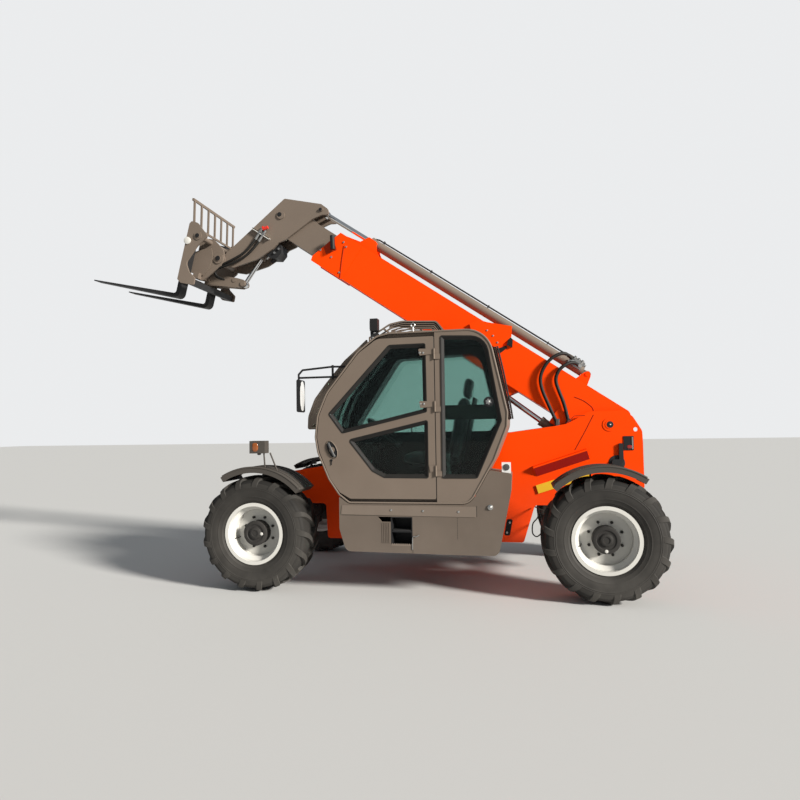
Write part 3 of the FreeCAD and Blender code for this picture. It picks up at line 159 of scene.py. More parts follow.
def ramp(tree, source, stops):
    """Colour ramp over (position, colour) stops."""
    node = tree.nodes.new("ShaderNodeValToRGB")
    elements = node.color_ramp.elements
    elements[0].position, elements[0].color = stops[0][0], (*stops[0][1], 1.0)
    elements[1].position, elements[1].color = stops[1][0], (*stops[1][1], 1.0)
    for position, colour in stops[2:]:
        elements.new(position).color = (*colour, 1.0)
    tree.links.new(source, node.inputs["Fac"])
    return node.outputs["Color"]


def add_bump(tree, shader, height, strength, distance):
    bump = tree.nodes.new("ShaderNodeBump")
    bump.inputs["Strength"].default_value = strength
    bump.inputs["Distance"].default_value = distance
    tree.links.new(height, bump.inputs["Height"])
    tree.links.new(bump.outputs["Normal"], shader.inputs["Normal"])


def shade(colour, factor):
    return tuple(min(1.0, c * factor) for c in colour)


def painted(name, base, roughness, variation=0.08, dust=0.0, specular=0.2, inside_shade=None):
    """Sprayed paint: slow changes of tone, fine orange peel, dust that gathers low down, and, if given, a near-black
    painted shade on the faces inside the cab.
    """
    material, tree, shader = new_material(name, base, roughness, specular=specular)
    tone = ramp(tree, noise_field(tree, 2.2), [(0.3, shade(base, 1 - variation)), (0.7, shade(base, 1 + variation))])
    if dust:
        tone = dusted(tree, tone, dust)
    if inside_shade:
        tone = inside_shaded(tree, tone, inside_shade)
    tree.links.new(tone, shader.inputs["Base Color"])
    rough = tree.nodes.new("ShaderNodeMapRange")
    rough.inputs["To Min"].default_value = roughness - 0.06
    rough.inputs["To Max"].default_value = roughness + 0.10
    tree.links.new(noise_field(tree, 9.0), rough.inputs["Value"])
    tree.links.new(rough.outputs["Result"], shader.inputs["Roughness"])
    if not inside_shade:
        add_bump(tree, shader, noise_field(tree, 260.0, 2.0), 0.06, 0.001)
    return material


def dusted(tree, colour, amount, reach=1.1):
    """Mixes pale dust into a colour, more towards the ground and in patches."""
    place = tree.nodes.new("ShaderNodeTexCoord")
    split = tree.nodes.new("ShaderNodeSeparateXYZ")
    tree.links.new(place.outputs["Object"], split.inputs["Vector"])
    low = tree.nodes.new("ShaderNodeMapRange")
    low.inputs["From Min"].default_value = reach
    low.inputs["From Max"].default_value = 0.0
    tree.links.new(split.outputs["Z"], low.inputs["Value"])
    patch = tree.nodes.new("ShaderNodeMath")
    patch.operation = "MULTIPLY"
    tree.links.new(low.outputs["Result"], patch.inputs[0])
    tree.links.new(noise_field(tree, 6.0, 6.0), patch.inputs[1])
    share = tree.nodes.new("ShaderNodeMath")
    share.operation = "MULTIPLY"
    share.inputs[1].default_value = amount
    tree.links.new(patch.outputs["Value"], share.inputs[0])
    mix = tree.nodes.new("ShaderNodeMixRGB")
    mix.inputs["Color2"].default_value = (0.42, 0.39, 0.35, 1.0)
    tree.links.new(share.outputs["Value"], mix.inputs["Fac"])
    tree.links.new(colour, mix.inputs["Color1"])
    return mix.outputs["Color"]


def inside_shaded(tree, colour, inside_shade):
    """Painted shade: near-black on the faces that look towards the cab's middle, where the inside of the cab lies in
    shade.
    """
    place = tree.nodes.new("ShaderNodeTexCoord")
    away = tree.nodes.new("ShaderNodeVectorMath")
    away.operation = "SUBTRACT"
    away.inputs[1].default_value = CAB_MIDDLE
    tree.links.new(place.outputs["Object"], away.inputs[0])
    facing = tree.nodes.new("ShaderNodeVectorMath")
    facing.operation = "DOT_PRODUCT"
    tree.links.new(away.outputs["Vector"], facing.inputs[0])
    tree.links.new(place.outputs["Normal"], facing.inputs[1])
    inside = tree.nodes.new("ShaderNodeMath")
    inside.operation = "LESS_THAN"
    inside.inputs[1].default_value = -0.22
    tree.links.new(facing.outputs["Value"], inside.inputs[0])
    mix = tree.nodes.new("ShaderNodeMixRGB")
    mix.inputs["Color2"].default_value = (*inside_shade, 1.0)
    tree.links.new(inside.outputs["Value"], mix.inputs["Fac"])
    tree.links.new(colour, mix.inputs["Color1"])
    return mix.outputs["Color"]


def cloth_material(name, base):
    """Woven seat cover: two crossed sets of threads as bump, and slow changes of tone."""
    material, tree, shader = new_material(name, base, 0.9, specular=0.1)
    tone = ramp(tree, noise_field(tree, 14.0), [(0.3, shade(base, 0.8)), (0.7, shade(base, 1.3))])
    tree.links.new(tone, shader.inputs["Base Color"])
    shader.inputs["Sheen Weight"].default_value = 0.25
    place = tree.nodes.new("ShaderNodeTexCoord")
    weave = tree.nodes.new("ShaderNodeMath")
    weave.operation = "MULTIPLY"
    for slot, way in enumerate(("Y", "Z")):
        thread = tree.nodes.new("ShaderNodeTexWave")
        thread.bands_direction = way
        thread.inputs["Scale"].default_value = 90.0
        tree.links.new(place.outputs["Object"], thread.inputs["Vector"])
        tree.links.new(thread.outputs["Fac"], weave.inputs[slot])
    add_bump(tree, shader, weave.outputs["Value"], 0.4, 0.002)
    return material


def rubber_material(name, base, roughness=0.72):
    material, tree, shader = new_material(name, base, roughness, specular=0.3)
    tone = ramp(tree, noise_field(tree, 7.0, 6.0), [(0.3, shade(base, 0.8)), (0.75, shade(base, 1.5))])
    tone = dusted(tree, tone, 0.14, 1.2)
    tree.links.new(tone, shader.inputs["Base Color"])
    add_bump(tree, shader, noise_field(tree, 120.0, 4.0), 0.15, 0.002)
    return material


def glass_material(name, tint):
    """Tinted window glass: thin, clear and reflective."""
    material, tree, shader = new_material(name, tint, 0.02, specular=0.0)
    shader.inputs["Transmission Weight"].default_value = 1.0
    shader.inputs["IOR"].default_value = 1.30
    shader.inputs["Alpha"].default_value = 0.86
    return material


MATERIALS = {}


def make_materials(paint):
    """All finishes, by short name."""
    table = MATERIALS
    table["body"] = painted("BodyPaint", paint.body, 0.38, 0.04, dust=0.10, specular=0.06)
    table["cover"] = painted("CoverPaint", paint.cover, 0.42, 0.06, dust=0.20, specular=0.25)
    # The cab's paint, with painted shade on its inside faces.
    table["cab"] = painted("CabPaintInsideShade", paint.cover, 0.42, 0.06, dust=0.20, specular=0.12, inside_shade=(0.005, 0.005, 0.006))
    # Painted shade: the skirt below the cab gets a darker copy of the cover paint.
    table["skirt"] = painted("SkirtPaintedShade", shade(paint.cover, 0.76), 0.42, 0.12, dust=0.12, specular=0.25)
    # Also the painted highlight on the coupler's bracket.
    table["wheel"] = painted("WheelPaintAndHighlight", paint.wheel, 0.45, 0.05, dust=0.20)
    # Also the painted shade in the recess on the chassis side plate.
    table["dark"] = painted("DarkPaintAndShade", paint.dark, 0.42, 0.15, dust=0.10)
    table["fender"] = painted("FenderPlastic", paint.fender, 0.55, 0.10, dust=0.15)
    table["axle"] = painted("AxlePaint", (0.020, 0.019, 0.018), 0.50, 0.2, dust=0.15)
    table["prop"] = painted("PropPaint", paint.prop, 0.40, 0.08)
    table["tyre"] = rubber_material("TyreRubber", paint.rubber)
    # Painted shade in the tread gaps: a darker copy of the rubber.
    table["groove"] = rubber_material("TreadGrooveShade", shade(paint.rubber, 0.35), 0.8)
    table["lug"] = rubber_material("TreadLug", shade(paint.rubber, 1.35), 0.75)
    # Also the painted shadow below the boom's cover.
    table["seal"] = rubber_material("SealRubberAndShade", shade(paint.rubber, 0.5), 0.6)
    table["glass"] = glass_material("CabGlass", paint.pane)
    # Darker copy of the body paint, for the weld beads and for the painted shade in the boom tip's opening.
    table["weld"] = painted("WeldBeadAndShade", shade(paint.body, 0.35), 0.6, 0.2)
    table["chrome"] = new_material("RodChrome", (0.72, 0.73, 0.74), 0.12, metallic=1.0)[0]
    table["steel"] = new_material("BoltSteel", (0.42, 0.42, 0.41), 0.35, metallic=0.9)[0]
    table["iron"] = painted("EngineIron", (0.07, 0.07, 0.07), 0.6, 0.2)
    # Black plastic; also the painted shade behind the roof guard's bars and in the pin bores.
    table["plastic"] = painted("BlackPlasticAndShade", (0.016, 0.016, 0.017), 0.5, 0.1)
    table["cloth"] = cloth_material("WovenCloth", (0.028, 0.028, 0.032))
    table["belt"] = painted("BeltWebbing", (0.16, 0.16, 0.16), 0.8, 0.1)
    # Painted shade: dark red for the fairing's sloped lower face.
    table["painted_shade"] = painted("PaintedShade", (0.30, 0.008, 0.004), 0.5, 0.08)
    table["red_lens"] = new_material("RedLens", (0.30, 0.012, 0.008), 0.12, coat=0.6)[0]
    table["red_handle"] = new_material("RedHandle", (0.70, 0.03, 0.015), 0.35)[0]
    table["bellows"] = painted("BellowsDust", (0.075, 0.048, 0.040), 0.7, 0.3)
    table["amber_lens"] = new_material("AmberLens", (0.26, 0.070, 0.012), 0.14, coat=0.5)[0]
    table["clear_lens"] = new_material("ClearLens", (0.72, 0.72, 0.70), 0.10, coat=0.8)[0]
    # Painted reflection: the mirror's glass is a pale colour, only partly metallic.
    table["mirror"] = new_material("MirrorGlassAndPaintedReflection", (0.86, 0.87, 0.86), 0.08, metallic=0.35)[0]


SLOT_FINISH = {
    "orange_paint": "body",
    "brown_paint": "cover",
    "white_paint": "wheel",
    "yellow_paint": "prop",
    "black_paint": "dark",
    "axle_steel": "axle",
    "engine_iron": "iron",
    "rod_chrome": "chrome",
    "tyre_rubber": "tyre",
    "hose_rubber": "seal",
    "black_plastic": "plastic",
    "lamp_plastic": "plastic",
    "seat_cloth": "cloth",
    "cab_pane": "glass",
}


NODE_FINISH = {"cab_frame": "cab", "door_frame": "cab", "cab_skirt": "skirt", "entry_step": "plastic"}


def paint_nodes():
    """Gives each node of the frame the finish of its material slot."""
    slot_of = {part["node"]: part["material_slot"] for part in frame["record"]["subparts"]}
    for name, node in frame["nodes"].items():
        node.data.materials.clear()
        finish = "fender" if name.startswith("fender_") else NODE_FINISH.get(name, SLOT_FINISH[slot_of[name]])
        node.data.materials.append(MATERIALS[finish])


# Surfaces


def make_piece(name, points, faces, finish, body, smooth=30.0):
    """Object from arrays of points and faces, riding on a body."""
    mesh = bpy.data.meshes.new(name)
    mesh.from_pydata([tuple(p) for p in points.tolist()], [], [tuple(f) for f in faces])
    mesh.materials.append(MATERIALS[finish])
    mesh.validate()
    mesh.update()
    piece = bpy.data.objects.new(name, mesh)
    bpy.context.scene.collection.objects.link(piece)
    if smooth:
        mesh.shade_smooth()
        mesh.set_sharp_from_angle(angle=math.radians(smooth))
    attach(piece, body)
    return piece


def grid_faces(rows, columns, close_rows=False, close_columns=False):
    """Quads over a grid of rows x columns points, wrapping round where closed."""
    r = np.arange(rows if close_rows else rows - 1)
    c = np.arange(columns if close_columns else columns - 1)
    i, j = np.meshgrid(r, c, indexing="ij")
    i2, j2 = (i + 1) % rows, (j + 1) % columns
    quads = np.stack([i * columns + j, i * columns + j2, i2 * columns + j2, i2 * columns + j], -1)
    return quads.reshape(-1, 4)


def boom_to_frame(points):
    """Turns (u along the boom, y, w across it) into the frame, about the boom's pivot."""
    c, s = math.cos(BOOM_ANGLE), math.sin(BOOM_ANGLE)
    u, y, w = points[..., 0], points[..., 1], points[..., 2]
    return np.stack([PIVOT[0] + u * c - w * s, y, PIVOT[2] + u * s + w * c], -1)


# Shape helpers


def joined(parts):
    """Puts (points, faces) parts into one set of points and one list of faces."""
    points, faces, start = [], [], 0
    for part_points, part_faces in parts:
        flat = part_points.reshape(-1, 3)
        points.append(flat)
        faces.extend([tuple(int(i) + start for i in face) for face in part_faces])
        start += len(flat)
    return np.concatenate(points), faces


def spaced(points, count):
    """Points evenly spaced along a polyline."""
    steps = np.linalg.norm(np.diff(points, axis=0), axis=1)
    along = np.concatenate([[0.0], np.cumsum(steps)])
    wanted = np.linspace(0.0, along[-1], count)
    return np.stack([np.interp(wanted, along, points[:, k]) for k in range(points.shape[1])], -1)


def curved(points, count):
    """Smooth line through points: a cubic between each two, whose slopes come from their neighbours."""
    p = np.asarray(points, float)
    padded_points = np.concatenate([[2 * p[0] - p[1]], p, [2 * p[-1] - p[-2]]])
    place = np.linspace(0, len(p) - 1 - 1e-9, count)
    i = place.astype(int)
    t = (place - i)[:, None]
    a, b, c, d = (padded_points[i + k] for k in range(4))
    return 0.5 * (2 * b + (c - a) * t + (2 * a - 5 * b + 4 * c - d) * t**2 + (3 * b - a - 3 * c + d) * t**3)


def ring_surface(profile, centre, segments=96):
    """Surface of revolution about Y: each (y, r) of the profile is carried round a circle of radius r."""
    angle = np.linspace(0, 2 * np.pi, segments, endpoint=False)[:, None]
    y, r = profile[:, 0][None, :], profile[:, 1][None, :]
    points = np.stack([centre[0] + r * np.cos(angle), centre[1] + y + 0 * angle, centre[2] + r * np.sin(angle)], -1)
    return points, grid_faces(segments, len(profile), close_rows=True)


def tube_surface(path, radius, sides=12, across=(0.0, 1.0, 0.0)):
    """Round tube: a circle square to the path at each point, turned so that it keeps to one cross direction."""
    tangent = np.gradient(path, axis=0)
    tangent /= np.linalg.norm(tangent, axis=1)[:, None]
    side = np.cross(tangent, np.array(across))
    if np.linalg.norm(side, axis=1).min() < 1e-6:
        side = np.cross(tangent, (0.6, 0.0, 0.8))
    side /= np.linalg.norm(side, axis=1)[:, None]
    top = np.cross(side, tangent)
    angle = np.linspace(0, 2 * np.pi, sides, endpoint=False)
    radii = np.broadcast_to(np.asarray(radius, float), (len(path),))[:, None, None]
    ring = np.cos(angle)[None, :, None] * side[:, None, :] + np.sin(angle)[None, :, None] * top[:, None, :]
    points = path[:, None, :] + radii * ring
    faces = [tuple(f) for f in grid_faces(len(path), sides, close_columns=True)[:, ::-1]]
    faces.append(tuple(range(sides)))
    faces.append(tuple(range((len(path) - 1) * sides, len(path) * sides))[::-1])
    return points, faces


def rounded_loop(corners, steps=6):
    """Closed (x, z) line round corners of (x, z, radius) in millimetres from mid wheelbase, arcs as chords."""
    spots = np.array([(MID_X + x / 1000, z / 1000) for x, z, r in corners])
    radii = np.array([r / 1000 for x, z, r in corners])
    loop = []
    for i, here in enumerate(spots):
        before, after = spots[i - 1] - here, spots[(i + 1) % len(spots)] - here
        back, on = before / np.linalg.norm(before), after / np.linalg.norm(after)
        half = math.acos(np.clip(back @ on, -1, 1)) / 2
        reach = min(radii[i] / math.tan(half), 0.48 * np.linalg.norm(before), 0.48 * np.linalg.norm(after))
        radius = reach * math.tan(half)
        inward = (back + on) / np.linalg.norm(back + on)
        centre = here + inward * reach / math.cos(half)
        first, last = here + back * reach - centre, here + on * reach - centre
        start, end = math.atan2(first[1], first[0]), math.atan2(last[1], last[0])
        sweep = (end - start + np.pi) % (2 * np.pi) - np.pi
        angles = start + sweep * np.linspace(0, 1, steps)
        loop.append(centre + radius * np.stack([np.cos(angles), np.sin(angles)], -1))
    loop = np.concatenate(loop)
    return loop[np.linalg.norm(loop - np.roll(loop, 1, 0), axis=1) > 1e-7]


def moved_out(loop, distance):
    """Closed line set off outwards from another by a distance, along each point's normal."""
    ahead = np.roll(loop, -1, 0) - loop
    behind = loop - np.roll(loop, 1, 0)
    ahead /= np.maximum(np.linalg.norm(ahead, axis=1), 1e-9)[:, None]
    behind /= np.maximum(np.linalg.norm(behind, axis=1), 1e-9)[:, None]
    normal = np.stack([ahead[:, 1] + behind[:, 1], -ahead[:, 0] - behind[:, 0]], -1)
    normal /= np.linalg.norm(normal, axis=1)[:, None]
    area = np.sum(loop[:, 0] * np.roll(loop[:, 1], -1) - np.roll(loop[:, 0], -1) * loop[:, 1])
    bend = np.maximum(0.5, np.sqrt(np.maximum(0.0, (1 + np.sum(ahead * behind, 1)) / 2)))[:, None]
    return loop + normal * distance * np.sign(area) / bend


def strip_surface(loop, section):
    """Moulding round a closed (x, z) line: section points are (distance outwards, y), carried round it."""
    rows = [np.insert(moved_out(loop, out), 1, y, axis=1) for out, y in section]
    points = np.stack(rows, 1)
    return points, grid_faces(len(loop), len(section), close_rows=True, close_columns=True)


def stud_parts(places, axis, radius, height, sides=6, rounding=0.25):
    """Bolt heads: a short prism on each place, its top edge drawn in, standing along an axis."""
    axis = np.asarray(axis, float) / np.linalg.norm(axis)
    helper = np.array([0.0, 0.0, 1.0]) if abs(axis[2]) < 0.9 else np.array([1.0, 0.0, 0.0])
    side = np.cross(axis, helper)
    side /= np.linalg.norm(side)
    top = np.cross(axis, side)
    angle = np.linspace(0, 2 * np.pi, sides, endpoint=False)
    ring = np.cos(angle)[:, None] * side + np.sin(angle)[:, None] * top
    levels = [(1.0, 0.0), (1.0, height * 0.75), (1.0 - rounding, height), (0.02, height)]
    parts = []
    for place in places:
        rows = np.stack([np.asarray(place) + ring * radius * out + axis * up for out, up in levels])
        parts.append((rows, grid_faces(len(levels), sides, close_columns=True)))
    return parts


def block_part(low, high):
    """Plain box between two corners."""
    x, y, z = zip(low, high)
    points = np.array([(x[i], y[j], z[k]) for i in (0, 1) for j in (0, 1) for k in (0, 1)], float)
    faces = [(0, 1, 3, 2), (4, 6, 7, 5), (0, 4, 5, 1), (2, 3, 7, 6), (0, 2, 6, 4), (1, 5, 7, 3)]
    return points, faces


def slab_part(loop, y0, y1):
    """Flat plate with an (x, z) outline between two values of y."""
    n = len(loop)
    points = np.concatenate([np.insert(loop, 1, y0, axis=1), np.insert(loop, 1, y1, axis=1)])
    area = np.sum(loop[:, 0] * np.roll(loop[:, 1], -1) - np.roll(loop[:, 0], -1) * loop[:, 1])
    turn = 1 if area > 0 else -1
    sides = [(i, (i + 1) % n, n + (i + 1) % n, n + i)[::-turn] for i in range(n)]
    caps = [tuple(range(n))[::turn], tuple(range(n, 2 * n))[::-turn]]
    return points, sides + caps


def recalculated(piece):
    """Turns every face of a closed piece outwards."""
    mesh = bmesh.new()
    mesh.from_mesh(piece.data)
    bmesh.ops.recalc_face_normals(mesh, faces=mesh.faces)
    mesh.to_mesh(piece.data)
    mesh.free()
    piece.data.update()
    return piece


def build(name, parts, finish, body, smooth=30.0):
    """One piece from joined parts, with its faces turned outwards."""
    points, faces = joined(parts)
    return recalculated(make_piece(name, points, faces, finish, body, smooth))


# Wheels

# Half of the tyre's outline from bead to crown: (y from the middle, radius)
TYRE_HALF = np.array([
    (0.150, 0.256), (0.163, 0.262), (0.165, 0.279), (0.176, 0.292), (0.188, 0.315), (0.197, 0.350), (0.1995, 0.385),
    (0.198, 0.420), (0.191, 0.452), (0.178, 0.472), (0.150, 0.481), (0.080, 0.485), (0.0, 0.486),
])
LUGS = 17
LUG_SLANT = 0.30
RIDGE_RADII = (0.302, 0.332, 0.400, 0.414)


def tyre_line(count):
    """Half outline, finer, with low rings raised on the sidewall at a few radii."""
    line = curved(TYRE_HALF, count)
    for radius in RIDGE_RADII:
        line[:, 0] += 0.0022 * np.exp(-(((line[:, 1] - radius) / 0.0035) ** 2))
    return line


def tyre_parts(centre):
    """Carcass as a surface of revolution, and lugs: each carried from shoulder to crown along the outline."""
    half = tyre_line(70)
    full = np.concatenate([half, (half * (-1, 1))[::-1][1:]])
    return [ring_surface(full, centre, 112), *lug_parts(centre)]


LUG_FACES = 34
GROOVE_SHADE_R = 0.452


def lug_parts(centre):
    """Tread lugs. Along t from sidewall to past the crown the foot follows the outline, the top stands off it
    along the outline's normal, and the angle round the axle runs on with t, which slants the lug."""
    outline_points = np.concatenate([TYRE_HALF[7:], [(-0.02, 0.486)]])
    foot = spaced(curved(outline_points, 80), 9)
    slope = np.gradient(foot, axis=0)
    normal = np.stack([-slope[:, 1], slope[:, 0]], -1)
    normal /= -np.linalg.norm(normal, axis=1)[:, None]
    rise = np.array([0.001, 0.008, 0.017, 0.024, 0.0285, 0.029, 0.029, 0.029, 0.024])[:, None]
    top = foot + normal * rise
    top[:, 1] = np.minimum(top[:, 1], TYRE_R)
    t = np.linspace(0, 1, len(foot))
    turn = LUG_SLANT * t**1.4
    half_foot = 0.031 - 0.006 * t
    half_top = 0.024 - 0.005 * t
    parts = []
    for side in (1, -1):
        inner = side * centre[1] < 0
        for k in range(LUGS):
            start = 2 * np.pi * (k + (0.5 if inner else 0.0)) / LUGS - np.pi / 2 - LUG_SLANT / 2
            rows = []
            for line, half, sign in ((foot, half_foot, -1), (top, half_top, -1), (top, half_top, 1), (foot, half_foot, 1)):
                angle = start + turn + sign * half / line[:, 1]
                radius = line[:, 1] - (0.004 if line is foot else 0.0)
                rows.append(np.stack([centre[0] + radius * np.cos(angle), centre[1] + side * line[:, 0],
                                      centre[2] + radius * np.sin(angle)], -1))
            points = np.stack(rows, 1)
            faces = [tuple(f) for f in grid_faces(len(foot), 4, close_columns=True)]
            faces += [(0, 1, 2, 3), tuple(range(4 * len(foot) - 4, 4 * len(foot)))]
            parts.append((points, faces))
    return parts


def colour_tread(piece, centre):
    """Painted shade: a darker second material on the carcass between the lugs, where the tread gaps lie in shade; a
    paler third material on the lugs, which are the last faces of the mesh.
    """
    piece.data.materials.append(MATERIALS["groove"])
    piece.data.materials.append(MATERIALS["lug"])
    count = len(piece.data.polygons)
    middle = np.empty(count * 3)
    piece.data.polygons.foreach_get("center", middle)
    middle = middle.reshape(-1, 3) - centre
    radius = np.hypot(middle[:, 0], middle[:, 2])
    lug = np.arange(count) >= count - 2 * LUGS * LUG_FACES
    index = np.where(lug, 2, np.where(radius > GROOVE_SHADE_R, 1, 0))
    piece.data.polygons.foreach_set("material_index", index.astype(np.int32))
    piece.data.update()


class HANDLER_OT_tyres(bpy.types.Operator):
    """Four lugged tyres in place of the plain ones"""

    bl_idname = "handler.tyres"
    bl_label = "Tyres"

    def execute(self, context):
        for corner in CORNERS:
            centre = joint_place("spin_" + corner)
            piece = build("Tyre_" + corner, tyre_parts(centre), "tyre", "wheel_" + corner)
            colour_tread(piece, centre)
            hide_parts("tyre_" + corner)
        return {"FINISHED"}


NUTS = 8
NUT_CIRCLE_R = 0.141
DISC_FACE = 0.042
HUB_FACE = 0.134
# Hub cap: distance from the hub's face, radius
HUB_LINE = np.array([(-0.003, 0.112), (0.005, 0.110), (0.008, 0.104), (0.008, 0.080), (0.002, 0.076), (0.002, 0.050), (0.014, 0.047),
                     (0.017, 0.041), (0.017, 0.029), (0.011, 0.027), (0.011, 0.0005)])


class HANDLER_OT_wheel_fittings(bpy.types.Operator):
    """Wheel nuts, hub caps and plugs, and tyre valves"""

    bl_idname = "handler.wheel_fittings"
    bl_label = "Wheel fittings"

    def execute(self, context):
        for corner in CORNERS:
            centre = joint_place("spin_" + corner)
            side = math.copysign(1.0, centre[1])
            body = "wheel_" + corner
            build("WheelNuts_" + corner, ring_of_studs(centre, side, DISC_FACE, NUT_CIRCLE_R, NUTS, 0.013, 0.020),
                  "axle", body)
            cap = HUB_LINE + np.array([HUB_FACE, 0.0])
            build("HubCap_" + corner, [ring_surface(cap * (side, 1.0), centre, 48)], "axle", body, 40.0)
            plug = (-0.062, -0.004) if corner.startswith("front") else (0.004, -0.088)
            build("HubPlug_" + corner, stud_parts([centre + np.array([plug[0], side * (HUB_FACE + 0.006), plug[1]])], (0, side, 0), 0.014, 0.007, 12),
                  "wheel", body)
            stem = np.array([(centre[0] + 0.19, centre[1] + side * 0.040, centre[2] - 0.05),
                             (centre[0] + 0.195, centre[1] + side * 0.075, centre[2] - 0.052),
                             (centre[0] + 0.205, centre[1] + side * 0.110, centre[2] - 0.055)])
            build("Valve_" + corner, [tube_surface(curved(stem, 8), 0.005, 8, (0, 0, 1))], "axle", body)
        return {"FINISHED"}


def ring_of_studs(centre, side, out, radius, count, size, height):
    """Stud parts evenly round a circle on a wheel's outer face."""
    angle = 2 * np.pi * (np.arange(count) + 0.5) / count
    places = np.stack([centre[0] + radius * np.cos(angle), np.full(count, centre[1] + side * out),
                       centre[2] + radius * np.sin(angle)], -1)
    return stud_parts(places, (0, side, 0), size, height)


# Cab

UPPER_WINDOW = [(797, 1571, 20), (245, 2155, 30), (-71, 2157, 14), (-75, 1575, 14), (673, 1403, 20)]
LOWER_WINDOW = [(619, 1343, 20), (-81, 1502, 14), (-80, 1015, 14), (301, 1018, 30), (407, 1074, 60)]
REAR_WINDOW = [(-205, 2217, 14), (-583, 2200, 150), (-702, 1491, 50), (-492, 1015, 20), (-200, 1015, 14)]
SEAL_SECTION = [(0.005, -0.0015), (0.0045, 0.003), (-0.004, 0.004), (-0.012, -0.003), (-0.030, -0.0120),
                (-0.030, -0.0145), (-0.002, -0.0145), (-0.001, -0.0015)]
DOOR_SIDE = [(604, 836, 30), (700, 890, 50), (785, 1005, 90), (880, 1238, 180), (904, 1370, 110), (884, 1555, 190),
             (800, 1752, 290), (518, 2098, 240), (350, 2216, 110), (-144, 2219, 12), (-144, 836, 12)]
ROOF_GUARD = [(-205, 2102, 0), (-205, 2310, 40), (-150, 2382, 50), (160, 2398, 200), (275, 2376, 120), (466, 2262, 8), (466, 2102, 0)]
SCREEN_GUARD = [(480, 2250, 8), (566, 2173, 200), (697, 2061, 200), (879, 1852, 200), (985, 1715, 150), (1046, 1560, 150),
                (1052, 1440, 20), (700, 1440, 0), (480, 1970, 0)]
CAB_SIDE = [(618, 795, 60), (710, 865, 50), (803, 999, 90), (903, 1233, 200), (926, 1369, 120), (905, 1560, 200),
            (819, 1761, 300), (532, 2115, 250), (360, 2245, 120), (250, 2268, 60), (-605, 2268, 230),
            (-757, 1560, 90), (-750, 1440, 90), (-640, 1164, 90), (-427, 795, 130)]
BEAD_SECTION = [(-0.0004, -0.008), (-0.0004, 0.001), (-0.004, 0.0045), (-0.010, 0.0045), (-0.0155, 0.001), (-0.0155, -0.004)]
GLASS_BAND = [(-206, 1626, 0), (-206, 1504, 0), (-702, 1504, 0), (-676, 1626, 0)]


class HANDLER_OT_window_seals(bpy.types.Operator):
    """Rubber seals round the side windows"""

    bl_idname = "handler.window_seals"
    bl_label = "Window seals"

    def execute(self, context):
        face = DOOR_FACE_Y - 0.001
        section = [(out, face + y) for out, y in SEAL_SECTION]
        for name, corners, body, y in (("DoorUpper", UPPER_WINDOW, "door", 0.0), ("DoorLower", LOWER_WINDOW, "door", 0.0),
                                       ("RearQuarter", REAR_WINDOW, "machine", 0.0)):
            build("Seal_" + name, [strip_surface(rounded_loop(corners), section)], "seal", body, 50.0)
        bead = [(out, DOOR_FACE_Y + y) for out, y in BEAD_SECTION]
        build("CabBead", [strip_surface(rounded_loop(CAB_SIDE, 10), bead)], "cover", "machine", 50.0)
        lip = [(-0.0005, face - 0.012), (0.0024, face - 0.012), (0.0030, face - 0.004), (0.0, face - 0.001), (-0.0005, face - 0.001)]
        build("DoorSeal", [strip_surface(rounded_loop(DOOR_SIDE, 10), lip)], "seal", "door", 50.0)
        band = slab_part(rounded_loop(GLASS_BAND, 2), 1.050, 1.057)
        build("WindowBand", [band], "seal", "machine")
        knob = at(-598, 1066, 1648)
        build("WindowKnobRing", stud_parts([knob], (0, 1, 0), 0.042, 0.007, 32), "plastic", "machine")
        star = [lens for turn in range(3) for lens in [arm_part(knob + (0, 0.007, 0), 0.024, 0.006, math.radians(60 * turn + 20))]]
        build("WindowKnob", star + stud_parts([knob + (0, 0.006, 0)], (0, 1, 0), 0.012, 0.009, 16), "steel", "machine")
        return {"FINISHED"}


def arm_part(centre, reach, half, turn):
    """Flat bar through a point, in the plane square to Y, turned by an angle."""
    c, s = math.cos(turn), math.sin(turn)
    corners = [(-reach, -half), (reach, -half), (reach, half), (-reach, half)]
    loop = np.array([(centre[0] + a * c - b * s, centre[2] + a * s + b * c) for a, b in corners])
    return slab_part(loop, centre[1] - 0.001, centre[1] + 0.005)


HANDLE_PLACE = (767, 1261)
HANDLE_LEAN = 25.0


